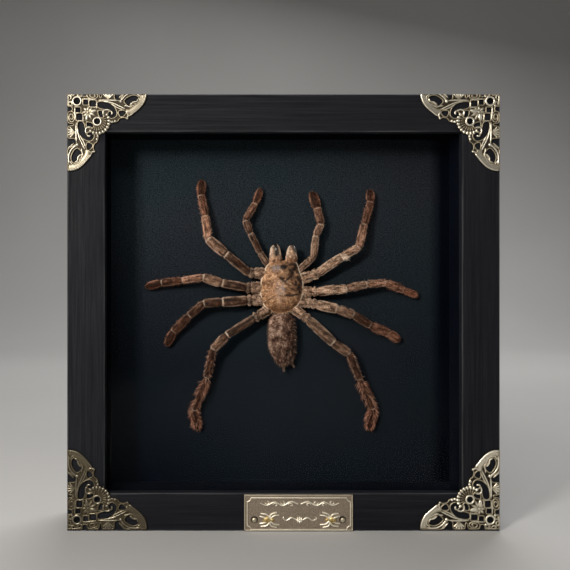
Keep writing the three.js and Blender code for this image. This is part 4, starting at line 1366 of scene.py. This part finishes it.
def limb_rings(name, spec):
    """The rings of a limb's skin and what its material needs at each point."""
    palp = name.startswith("pedipalp")
    centre, segments, through, lengths = centreline(spec["joints"])
    last = segments.max()
    seed = 3.0 + sum(map(ord, name)) % 17
    radius = eased(spec["radii"], segments, through)
    swell = 0.90 + 0.12 * np.sin(math.pi * np.clip(through, 0, 1) ** 0.85)
    to_next = (1 - through) * lengths
    from_last = through * lengths
    first_joint = (segments == 0) & (through < 0.5)
    pinch = 0.17 * peak(to_next, 0, 0.5) * (segments < last) + 0.17 * peak(from_last, 0, 0.7) * ~first_joint
    lip = 0.07 * peak(to_next, 1.0, 0.35) * (segments < last)
    end = np.where(segments == last, np.clip((through - 0.55) / 0.45, 0, 1), 0)
    folded = segments < (1 if palp else 2)
    radius = radius * (swell - pinch + lip) * np.sqrt(np.maximum(1 - end**2.6, 0.004))
    heading = unit(np.gradient(centre, axis=0))
    side = unit(np.cross(heading, OUT))
    above = unit(np.cross(side, heading))
    angles = full_turn(LIMB_SIDES)
    along = np.concatenate([[0], np.cumsum(np.linalg.norm(np.diff(centre, axis=0), axis=1))])[:, None]
    grid = radius[:, None] * np.ones(LIMB_SIDES)
    crease = np.cos(3 * angles + 1.3 * seed + 0.9 * np.sin(along / 5.0 + seed))
    fine = np.cos(7 * angles + 2.1 * seed + np.sin(along / 3.1))
    depths = np.array([0, *FURROWS[name], *OUTER_FURROWS][: last + 1])
    drift = math.pi / 2 + 0.30 * np.sin(along / 6.0 + seed)
    furrow = eased(depths, segments, through)[:, None] * peak(angles, drift, 0.30)
    turn = angles[None, :, None]
    ring = side[:, None] * np.cos(turn) + above[:, None] * np.sin(turn) * 0.9
    rings = centre[:, None] + ring * grid[..., None]
    lumps = 0.5 * rough(rings, 1.9, seed) + 0.35 * rough(rings, 0.8, seed + 5)
    wander = 1.6 * rough(rings, 3.2, seed + 7) + 0.25 * np.cos(angles + seed)
    folds = np.cos(2 * math.pi * (from_last[:, None] / 1.7 + wander)) * folded[:, None]
    grid = grid * (1 + 0.05 * crease + 0.025 * fine + 0.10 * lumps - 0.16 * furrow + 0.07 * folds)
    rings = centre[:, None] + ring * grid[..., None]
    rings[..., 1] = np.minimum(rings[..., 1], BOARD_Y - 0.05)
    paleness = np.array(PALP_RINGS if palp else LEG_RINGS)[segments]
    # Pale joint rings, and a painted highlight on the crests of the folds.
    pale = (paleness * peak(to_next, 0.5, 0.30))[:, None] + 0.10 * np.clip(folds, 0, 1)
    facing = np.clip(np.sin(angles), 0, 1)
    tip = eased(np.arange(last + 1) == last, segments, through)[:, None]
    # Painted shade: the stain is weighted to the limb's top, most of all on the last segment, so that the
    # flanks look lit.
    core = (0.55 + 0.45 * facing**0.7) * (1 - tip) + (0.22 + 0.88 * facing**2.0) * tip
    stain = eased(spec["stain"], segments, through)[:, None] * core
    patchy = 0.5 + 0.5 * rough(rings, 2.4, seed + 9)
    stripes = np.zeros(grid.shape)
    for stripe in (-0.62, 0.62):
        sway = math.pi / 2 + stripe + 0.22 * np.sin(along / 4.0 + seed * stripe)
        broken = np.clip(0.5 + 1.4 * np.sin(along / 3.3 + 2.7 * seed * stripe), 0, 1)
        stripes = np.maximum(stripes, broken * peak(angles, sway, 0.19))
    # Painted highlights along both upper flanks of the limb.
    pale = pale + 0.42 * peak(facing, 0.36, 0.20) * (0.35 + 0.65 * patchy) * (1 - 0.6 * tip)
    pale = pale * (1 - 0.65 * folded[:, None])
    crack = 0.8 * peak(from_last, 0.45, 0.30) * (segments > 1)
    # Painted shade in the troughs of the folds, and dark stripes in the skin.
    sunk = 0.75 * np.clip(-folds, 0, 1) ** 2 + 0.6 * stripes
    values = {
        "stage": eased(PALP_STAGES if palp else LEG_STAGES, segments, through)[:, None] * np.ones(LIMB_SIDES),
        "stain": np.clip(stain * (0.75 + 0.6 * patchy) + 0.45 * stripes + 0.5 * crack[:, None], 0, 1),
        "furrow": np.clip(furrow * (0.7 + 0.6 * patchy) + sunk, 0, 1),
        "ring": np.clip(pale * (0.3 + 1.2 * patchy), 0, 1),
        "core": tip * facing**2 * np.clip(stain, 0, 1),
    }
    grain = np.stack(np.broadcast_arrays(along, angles * 2.3, seed), -1).astype(float)
    return rings, segments, values, grain


def comb_limb(fur, surface, segments, values, grain, kind):
    """Short hair all over a limb and long bristles towards its end, all leaning to the tip."""
    comb = COMBS[kind]
    count = comb["hairs"]
    seen = np.clip(surface.normal @ OUT + 0.75, 0.02, 1) * (1 - 0.8 * values["furrow"])
    i, j, roots, normal, ahead = surface.pick(count, seen)
    coat = np.array(comb["coat"])[segments[i]] * rng.uniform(0.55, 1.25, count)
    ways = normal * 0.32 + ahead * 0.95 + scatter(0.13, count)
    streak = rough(grain[i, j] * STREAK, 1.0, 1.0)
    # Hairs take the rings' paleness with its painted highlights, and are darkened on the tips' tops as
    # painted shade.
    pale = 0.45 * values["ring"][i, j] - 0.85 * values["core"][i, j]
    shade = 0.42 + pale + 2.3 * streak + 0.9 * rough(roots, 1.4, 8.0) + rng.normal(0, 0.10, count)
    stage, stain = values["stage"][i, j], values["stain"][i, j]
    fur.add(roots, ways, coat, 0.085, np.clip(shade, 0, 1), stage=stage, stain=stain)
    if kind == "palp":
        outer = np.clip(segments / 4.0, 0.1, 1)[:, None]
    else:
        outer = np.clip((segments - 2) / 3.0, 0.08, 1)[:, None]
    if kind == "rear":
        outer = outer**2 * (0.15 + np.abs(surface.normal[..., 0]) ** 2)
    count = comb["bristles"]
    i, j, roots, normal, ahead = surface.pick(count, seen * outer)
    reach = np.array(comb["reach"])[segments[i]] * rng.uniform(0.6, 1.3, count)
    ways = normal + ahead * comb["lean"] + scatter(0.25, count)
    shade = shades(0.5, 0.26, count)
    if kind == "rear":
        shade = np.clip(0.45 + 1.5 * (shade - 0.5), 0, 1)
    droop = ahead * comb["droop"] - normal * 0.2
    stage, stain = values["stage"][i, j], values["stain"][i, j] * comb["stain_and_shade_share"]
    fur.add(roots, ways, reach, comb["width"], shade, droop, stage, stain)


def make_limbs(hair):
    """Each limb's skin and its hairs."""
    skin = leg_skin()
    for name, spec in LIMBS.items():
        rings, segments, values, grain = limb_rings(name, spec)
        given = {key: with_poles(numbers) for key, numbers in values.items()}
        given["grain"] = np.stack([with_poles(grain[..., axis]) for axis in range(3)], 1)
        as_piece(mesh_object(f"{name}_skin", *loft(rings), skin, values=given), "leg", name)
        kind = "palp" if name.startswith("pedipalp") else "rear" if name.startswith("leg_4") else "leg"
        fur = Fur()
        comb_limb(fur, Surface(rings), segments, values, grain, kind)
        if name == "leg_1_right":
            add_pale_tuft(fur)
        fur.make(f"{name}_hairs", hair, "leg")


def add_pale_tuft(fur):
    """The small tuft of pale hairs at the knee of the right front leg, whose paleness is also a painted
    highlight.
    """
    count = TUFT_HAIRS
    roots = placed(33.0 + rng.normal(0, 1.0, count), 17.4 + rng.normal(0, 0.8, count), 10.4)
    ways = np.array([0.75, -0.45, -0.55]) + scatter(0.3, count)
    fur.add(roots, ways, rng.uniform(1.2, 3.2, count), 0.11, 1.0, bend=np.array([[0.4, 0.3, -0.5]]))


# ---------------------------------------------------------------- carapace
CARAPACE_EDGE = [
    (8.2, 14.5), (9.7, 10.2), (11.2, 5.8), (11.7, 1.6), (11.3, -2.6), (10.2, -6.2), (8.0, -9.2),
    (4.3, -11.7), (0.0, -12.6), (-5.0, -11.9), (-9.2, -9.2), (-11.0, -5.2), (-11.7, -0.4), (-11.3, 4.2),
    (-9.7, 9.8), (-7.0, 14.3), (-3.2, 15.6), (0.8, 15.3), (5.2, 15.7),
]
CARAPACE_MIDDLE = (0.0, 0.8)
RIM_HEIGHT = 6.7
DOME = 4.9
FOVEA = (0.6, 5.6)
EYE_MOUND, MOUND_SIZE = (0.9, 12.1), (1.9, 1.45)
SIDES = 144
# The rings' shares of the way to the edge on the top, and their shares and heights on the underside.
TOP_SHARES = np.concatenate([np.linspace(0.03, 0.9, 34), np.linspace(0.915, 1.0, 9)])
UNDERSIDE = [(1.0, 6.1), (0.97, 5.2), (0.90, 3.8), (0.78, 2.2), (0.60, 1.2), (0.3, 1.0), (0.06, 1.0)]
SHELL_HAIRS, FRINGE_HAIRS = 4500, 1500


def from_line(x, z, a, b):
    """The distance of each point from the line between a and b."""
    a, b = np.array(a, float), np.array(b, float)
    along = b - a
    t = np.clip(((x - a[0]) * along[0] + (z - a[1]) * along[1]) / (along @ along), 0, 1)
    return np.hypot(x - a[0] - t * along[0], z - a[1] - t * along[1])


# Grooves in the carapace: the two ends, the width, the depth and how dark the painted shadow in the bottom
# is.
GROOVES = [
    ((1.6, 4.4), (5.2, 7.1), 0.75, 0.7, 1.0),
    ((5.2, 7.1), (6.3, 9.4), 0.65, 0.6, 0.9),
    ((-1.0, 6.6), (0.8, 4.9), 0.70, 0.6, 0.9),
    ((2.0, -3.0), (6.2, -3.1), 0.60, 0.7, 1.0),
    ((6.2, -3.1), (10.6, -2.0), 0.60, 0.7, 1.0),
    ((6.4, 0.2), (10.2, 2.2), 0.9, 0.35, 0.75),
    ((3.4, -6.0), (6.4, -9.4), 0.5, 0.25, 0.3),
    ((-6.4, 4.6), (-10.2, 5.0), 0.4, 0.22, 0.3),
    ((-5.8, -0.4), (-10.0, -1.4), 0.4, 0.2, 0.25),
    ((-1.2, -3.2), (1.8, -3.6), 0.45, 0.3, 0.4),
]


def edge_radius(angles):
    """How far the carapace's edge is from its middle, by angle."""
    edge = smooth_path(CARAPACE_EDGE, 8, closed=True) - np.array(CARAPACE_MIDDLE)
    theta = np.arctan2(edge[:, 1], edge[:, 0])
    order = np.argsort(theta)
    return np.interp(angles, theta[order], np.hypot(*edge.T)[order], period=2 * math.pi)


def carapace_rings():
    """Rings from the middle of the top round to the middle of the underside, and the markings and painted
    shade on them.
    """
    angles = full_turn(SIDES)
    reach = edge_radius(angles)

    def spots(share):
        x = CARAPACE_MIDDLE[0] + share * reach * np.cos(angles)
        return x, CARAPACE_MIDDLE[1] + share * reach * np.sin(angles)

    share = TOP_SHARES[:, None]
    x, z = spots(share)
    head = oval(x, z, (0.8, 10.8), (6.4, 4.6), 4)
    height = RIM_HEIGHT + DOME * np.maximum(1 - share**2.1, 0) ** 0.72 + 1.1 * head * (1 - share**6)
    shadow = np.zeros(x.shape)
    for a, b, width, depth, darkness in GROOVES:
        near = peak(from_line(x, z, a, b), 0, width) * np.minimum(1, (1 - share) * 8 + 0.1)
        height = height - depth * near
        shadow = np.maximum(shadow, darkness * near)
    pit = oval(x, z, FOVEA, (0.95, 0.95 / 1.3))
    mound = np.hypot((x - EYE_MOUND[0]) / MOUND_SIZE[0], (z - EYE_MOUND[1]) / MOUND_SIZE[1])
    ribs = np.cos((z + 0.35 * x) * 5.2) * oval(x, z, (-6.2, -1.5), (4.0, 7.0), 4)
    sideways = np.clip((np.abs(np.cos(angles)) - 0.34) * 3.0, 0, 1)
    # A raised lip along the sides, painted pale, partly as a painted highlight.
    flange = peak(share, 0.975, 0.018) * sideways
    height = height - pit + 1.05 * np.exp(-(mound**2.6)) + 0.13 * ribs + 0.32 * flange
    flat = placed(x, z, height)
    height = height + 0.22 * rough(flat, 1.7, 2.0) + 0.14 * rough(flat, 0.7, 4.0)

    amber = oval(x, z, (6.6, -6.2), (3.0, 2.2))
    cloud = rough(flat, 1.3, 8.0)
    brow = oval(x, z, (-3.4, 11.5), (2.7, 1.8), 4) * np.clip(0.65 + 2.0 * cloud, 0.1, 1)
    # Painted shade on the right side of the dome, weaker on the amber patch.
    painted_right_shade = np.clip((x - 1.5 + 0.3 * z) / 8.0, 0, 1) ** 0.8 * (1 - 0.75 * amber)
    painted_right_shade = painted_right_shade * (0.74 + 0.9 * rough(flat, 1.5, 9.0))
    dusk = 0.62 * brow * np.clip(0.7 + 2.2 * rough(flat, 0.8, 12.0), 0.2, 1.2)
    bloom = 0.50 * oval(x, z, (-1.0, 0.2), (2.6, 5.4)) * np.clip(0.7 + 1.6 * cloud, 0, 1.4)

    rays = np.stack(np.broadcast_arrays(19.0 * angles, 2.2 * share, 3.1), -1)
    slanted = np.stack([0.22 * (x - 0.4 * z), 1.05 * (z + 0.30 * np.abs(x)), 0.2 * x], -1)
    blotch = 1.1 * share**1.6 * (0.3 + 0.7 * sideways) * rough(rays, 1.0, 1.0)
    blotch = blotch + 0.7 * sideways * rough(slanted, 1.0, 3.0)
    blotch = blotch + 0.26 * rough(flat, 3.2, 5.0) + 0.55 * rough(flat, 0.7, 6.0)
    ginger = 0.50 * head - 0.12 * ribs + 0.50 * peak(z, -10.0, 3.0) - 0.2 * amber
    about_eyes = np.exp(-((mound / 2.1) ** 4)) + oval(x, z, (-0.2, 8.6), (1.6, 1.6), 4)
    # The step at x > 0 adds painted shade to the right half.
    streak = 0.25 + 1.25 * blotch + ginger + 0.12 * (x > 0) - 0.5 * about_eyes

    # Painted shadow in the grooves and the pit and painted shade on the right, with the dark eye mound and
    # brow.
    darkest = np.maximum.reduce([shadow, 0.95 * pit, np.exp(-((0.85 * mound) ** 6)), painted_right_shade, dusk])
    values = {
        "dark": np.clip(darkest, 0, 1),
        "rim": np.clip(1.25 * flange, 0, 1),
        "grey": np.clip(bloom + brow, 0, 1),
        "streak": np.clip(streak, 0, 0.9) * (share < 0.95),
    }
    rings = [*placed(x, z, height)]
    for under, level in UNDERSIDE:
        rings.append(placed(*spots(under), level))
        # The underside is darkened as painted shade.
        below = {"dark": 0.5, "rim": 0.3 if under == 1.0 else 0.0, "grey": 0.0, "streak": 0.5}
        values = {key: np.vstack([values[key], np.full(SIDES, value)]) for key, value in below.items()}
    return np.array(rings), values


def eye_parts():
    """Eight small domed eyes on the mound."""
    spots = [(-0.75, 0.25, 0.42), (0.75, 0.25, 0.42), (-1.35, 0.55, 0.28), (1.35, 0.55, 0.28)]
    spots += [(-1.35, -0.35, 0.26), (1.35, -0.35, 0.26), (-0.9, -0.55, 0.2), (0.9, -0.55, 0.2)]
    parts = []
    for x, z, radius in spots:
        away = math.hypot(x / MOUND_SIZE[0], z / MOUND_SIZE[1])
        height = 10.05 + math.exp(-(away**2.6))
        middle = placed(EYE_MOUND[0] + x, EYE_MOUND[1] + z, height)
        parts.append(blob(middle, (radius, radius, radius), sides=14))
    return parts


def make_carapace(gloss):
    """The shell, its eyes and its hairs. Gives back the shell's finish."""
    skin = carapace_skin()
    hair = golden_hair()
    rings, values = carapace_rings()
    points, faces = loft(rings)
    faces = [face[::-1] for face in faces]
    given = {key: with_poles(numbers) for key, numbers in values.items()}
    shell = mesh_object("carapace_shell", points, faces, skin, values=given)
    as_piece(shell, "carapace", "cephalothorax")
    as_piece(mesh_object("eyes", *joined(eye_parts()), gloss), "carapace")
    fur = Fur()
    upper = len(TOP_SHARES)
    top = Surface(rings[:upper])
    top.normal = top.normal * np.sign(np.sum(top.normal * OUT, -1, keepdims=True) + 1e-9)
    hairy = (1 - 0.97 * values["dark"][:upper] ** 1.5) * (1 - 0.9 * values["rim"][:upper])
    count = SHELL_HAIRS
    i, j, roots, normal, ahead = top.pick(count, hairy)
    ways = normal * 0.35 + ahead * 0.9 + scatter(0.2, count)
    shade = np.clip(0.66 - 0.75 * values["streak"][i, j] + rng.normal(0, 0.16, count), 0, 1)
    fur.add(roots, ways, rng.uniform(0.25, 0.6, count), 0.065, shade, stain=0.9 * values["dark"][i, j])
    count = FRINGE_HAIRS  # round the edge, and longest at the rear
    angles = rng.uniform(0, 2 * math.pi, count)
    reach = edge_radius(angles) * rng.uniform(0.97, 1.01, count)
    roots = placed(reach * np.cos(angles), CARAPACE_MIDDLE[1] + reach * np.sin(angles), RIM_HEIGHT + 0.1)
    outwards = np.stack([np.cos(angles), np.full(count, -0.35), np.sin(angles)], 1) + scatter(0.25, count)
    rear = peak(np.sin(angles), -1, 0.25)
    lengths = rng.uniform(0.3, 0.7, count) * (1 + 2.2 * rear)
    shade = shades(0.74, 0.26, count)
    fur.add(roots, outwards, lengths, 0.09, shade, stain=0.8 * (rng.uniform(0, 1, count) < 0.45 * rear))
    fur.make("carapace_hairs", hair, "carapace")
    return skin


# ---------------------------------------------------------------- chelicerae
JAW_SIDES, JAW_HAIRS = 40, 2600
CHELICERAE = {
    "left": {
        "middle": [(-2.8, 10.6), (-3.2, 15.5), (-3.4, 19.7), (-3.45, 22.7), (-3.2, 24.2)],
        "half_width": (3.0, 3.4, 2.9, 2.3, 0.8),
        "slit": ((-3.1, 18.8), (-3.6, 24.4)),
        "fang": [
            (-3.5, 24.0, 8.8), (-3.4, 22.8, 10.0), (-3.2, 21.2, 10.6), (-3.1, 19.6, 10.5), (-3.1, 18.2, 9.7),
        ],
    },
    "right": {
        "middle": [(4.8, 10.6), (5.2, 15.5), (5.45, 19.7), (5.4, 22.4), (5.1, 23.8)],
        "half_width": (3.0, 3.3, 2.8, 2.05, 0.45),
        "slit": ((6.7, 21.6), (6.5, 22.8)),
        "fang": [(6.4, 23.8, 7.8), (6.9, 22.4, 8.5), (7.5, 20.6, 8.3), (7.9, 18.8, 7.4), (8.1, 17.4, 6.4)],
    },
}


def make_chelicera(side, spec, skin, hair, gloss):
    """One jaw with the slit that its fang lies in, and its hairs."""
    middle = smooth_path([(x, z, half) for (x, z), half in zip(spec["middle"], spec["half_width"])], 9)
    angles = full_turn(JAW_SIDES)
    rings, dark, rim = [], [], []
    for x, z, half in middle:
        tall = min(3.9, half * 1.22)
        ring_x = x + half * np.cos(angles)
        ring_h = 6.0 + tall * np.sign(np.sin(angles)) * np.abs(np.sin(angles)) ** 0.85
        ring_h = ring_h - 3.6 * np.clip((16.6 - z) / 3.4, 0, 1) ** 1.3
        slit = peak(from_line(ring_x, np.full(JAW_SIDES, z), *spec["slit"]), 0, 1.15) * (np.sin(angles) > 0)
        ring = placed(ring_x, z, ring_h - 1.1 * slit)
        ring = ring + OUT * (0.16 * rough(ring, 1.6, x) + 0.1 * rough(ring, 0.7, 3 + x))[:, None]
        rings.append(ring)
        # The slit is dark; the lower side is darkened as painted shade.
        dark.append(0.95 * slit + 0.5 * (np.sin(angles) < -0.4))
        upper = min(1, max(0, (z - 16.0) / 4))
        # The pale rims along the jaw's upper edges are partly a painted highlight.
        edge = peak(np.abs(np.cos(angles)), 0.88, 0.17) * (np.sin(angles) > -0.1)
        rim.append((edge + 0.12 * (np.sin(angles) > 0)) * upper)
    points, faces = loft(rings)
    dark, rim = np.clip(dark, 0, 1), np.clip(rim, 0, 1)
    blotch = np.clip(0.34 + 1.7 * rough(rings, 1.1, 7.0), 0, 0.9)
    given = {"dark": with_poles(dark), "rim": with_poles(rim), "streak": with_poles(blotch)}
    given["grey"] = np.full(len(points), 0.05)
    jaw = mesh_object(f"chelicera_{side}_shell", points, faces, skin, values=given)
    as_piece(jaw, "carapace", f"chelicera_{side}")
    path = placed(*smooth_path(spec["fang"], 6).T)
    thick = np.linspace(0.85, 0.50, len(path))
    as_piece(mesh_object(f"fang_{side}", *tube(path, thick, 12), gloss), "carapace")
    fur = Fur()
    surface = Surface(rings)
    count = JAW_HAIRS
    wanted = np.clip(surface.normal @ OUT + 0.8, 0.05, 1) * (dark < 0.3)
    i, j, roots, normal, ahead = surface.pick(count, wanted)
    ways = normal * 0.5 + ahead * 0.85 + scatter(0.2, count)
    shade = 0.60 - 0.7 * blotch[i, j] + 0.55 * rim[i, j] + rng.normal(0, 0.14, count)
    # Hairs that face the board are darkened as painted shade.
    below = 0.7 * np.clip(-surface.normal[i, j] @ OUT + 0.05, 0, 1)
    fur.add(roots, ways, rng.uniform(0.2, 0.55, count), 0.075, np.clip(shade, 0, 1), stage=0.3, stain=below)
    fur.make(f"chelicera_{side}_hairs", hair, "carapace")


# ---------------------------------------------------------------- abdomen
ABDOMEN = [  # z, the left and right edge, and the top's height
    (-12.0, -1.8, 2.2, 6.4), (-13.6, -2.4, 2.8, 6.8), (-14.6, -4.8, 5.0, 8.2), (-16.4, -6.0, 6.2, 9.4),
    (-20.0, -6.6, 6.8, 10.0), (-26.0, -6.7, 7.0, 10.2), (-30.5, -6.5, 7.0, 9.8), (-34.2, -5.2, 6.8, 9.0),
    (-37.4, -3.4, 6.2, 7.8), (-39.4, -2.0, 4.8, 6.4), (-40.8, -0.4, 1.8, 5.4),
]
ABDOMEN_SIDES = 56
SHORT_FUR, LONG_FUR, SPINNERET_HAIRS = 22000, 1500, 420
SPINNERETS = [((0.6, -40.4, 5.2), (1.2, -43.4, 5.4)), ((4.8, -38.6, 4.8), (6.4, -41.2, 5.0))]


def make_abdomen():
    """The shrivelled body with its two spinnerets, and its fur."""
    angles = full_turn(ABDOMEN_SIDES)
    rings = []
    for z, left, right, top in smooth_path(ABDOMEN, 6):
        half = max((right - left) / 2, 0.3)
        low = 0.9 if z > -40 else 2.2
        x = (left + right) / 2 + half * np.sign(np.cos(angles)) * np.abs(np.cos(angles)) ** 0.9
        height = (top + low) / 2 + (top - low) / 2 * np.sin(angles)
        folds = 0.35 * np.cos(9 * angles + 1.5 * math.sin(z / 4.0)) * (np.sin(angles) > -0.2)
        ring = placed(x, z, height + folds * 0.6)
        ring = ring + OUT * (0.7 * rough(ring, 4.0, 1.0) + 0.35 * rough(ring, 1.6, 6.0))[:, None]
        ring[:, 1] = np.minimum(ring[:, 1], BOARD_Y - 0.2)
        rings.append(ring)
    parts = [loft(rings)]
    spinnerets = []
    for start, end in SPINNERETS:
        halfway = np.array(start) * 0.5 + np.array(end) * 0.5
        path = smooth_path([placed(*start), placed(*halfway), placed(*end)], 7)
        parts.append(tube(path, np.linspace(0.95, 0.35, len(path)), 12))
        spinnerets.append(path)
    body = mesh_object("abdomen_skin", *joined(parts), abdomen_skin())
    as_piece(body, "abdomen", "abdomen")
    fur = Fur()
    surface = Surface(rings)
    seen = np.clip(surface.normal @ OUT + 0.7, 0.02, 1)
    count = SHORT_FUR
    _, _, roots, normal, ahead = surface.pick(count, seen)
    tufted = roots * np.array([1.0, 1.0, 0.75])
    patch = 0.8 * rough(tufted, 2.4, 11.0) + 0.7 * rough(tufted, 1.0, 12.0) + 0.6 * rough(roots, 0.5, 15.0)
    lean = ahead * 0.75 + normal * 0.45
    lean[:, 0] += 0.35 * rough(roots, 3.0, 14.0)
    # Painted shade on the right side and painted light on the left; the fur is also made darker towards the
    # bottom.
    side = (roots[:, 0] - SPIDER_X) / 7.5
    lower = np.clip((SPIDER_Z - 27.0 - roots[:, 2]) / 12.0, 0, 1)
    shade = 0.54 - 0.68 * side * (side > 0) - 0.25 * side * (side < 0) - 0.14 * lower + 0.85 * patch
    shade = np.clip(shade + rng.normal(0, 0.12, count), 0, 1)
    fur.add(roots, lean + scatter(0.34, count), rng.uniform(0.6, 1.25, count), 0.10, shade)
    count = LONG_FUR
    _, _, roots, normal, ahead = surface.pick(count, seen)
    ways = normal * 0.9 + ahead * 0.5 + scatter(0.25, count)
    shade = shades(0.5, 0.24, count)
    fur.add(roots, ways, rng.uniform(1.6, 2.8, count), 0.09, shade, bend=ahead * 0.8)
    for path in spinnerets:
        count = SPINNERET_HAIRS
        spot = rng.integers(0, len(path), count)
        ways = unit(rng.normal(0, 1, (count, 3))) * 0.6 + unit(path[-1] - path[0])
        fur.add(path[spot], ways, rng.uniform(0.8, 1.9, count), 0.10, shades(0.6, 0.25, count))
    fur.make("abdomen_fur", abdomen_fur(), "abdomen")


# ---------------------------------------------------------------- stage
def make_stage():
    """A pale floor that sweeps up into a backdrop far behind the frame."""
    reach, back, bend, top = 3000.0, 1800.0, 700.0, 3200.0
    profile = [(-reach, 0.0), (-400.0, 0.0), (400.0, 0.0)]
    for angle in np.linspace(0, math.pi / 2, 12):
        profile.append((back - bend + bend * math.sin(angle), bend - bend * math.cos(angle)))
    profile.append((back, top))
    points = [(x, y, z) for y, z in profile for x in (-reach, reach)]
    faces = [(2 * i, 2 * i + 1, 2 * i + 3, 2 * i + 2) for i in range(len(profile) - 1)]
    mesh_object("stage", points, faces, pale_stage())


make_camera()
make_light()
make_stage()
make_rails()
make_plain_nodes()
make_corners()
make_nameplate()
GLOSS = glossy_black()
CHITIN = make_carapace(GLOSS)
LEG_HAIR = leg_hair()
for jaw_side, jaw_spec in CHELICERAE.items():
    make_chelicera(jaw_side, jaw_spec, CHITIN, LEG_HAIR, GLOSS)
make_abdomen()
make_limbs(LEG_HAIR)
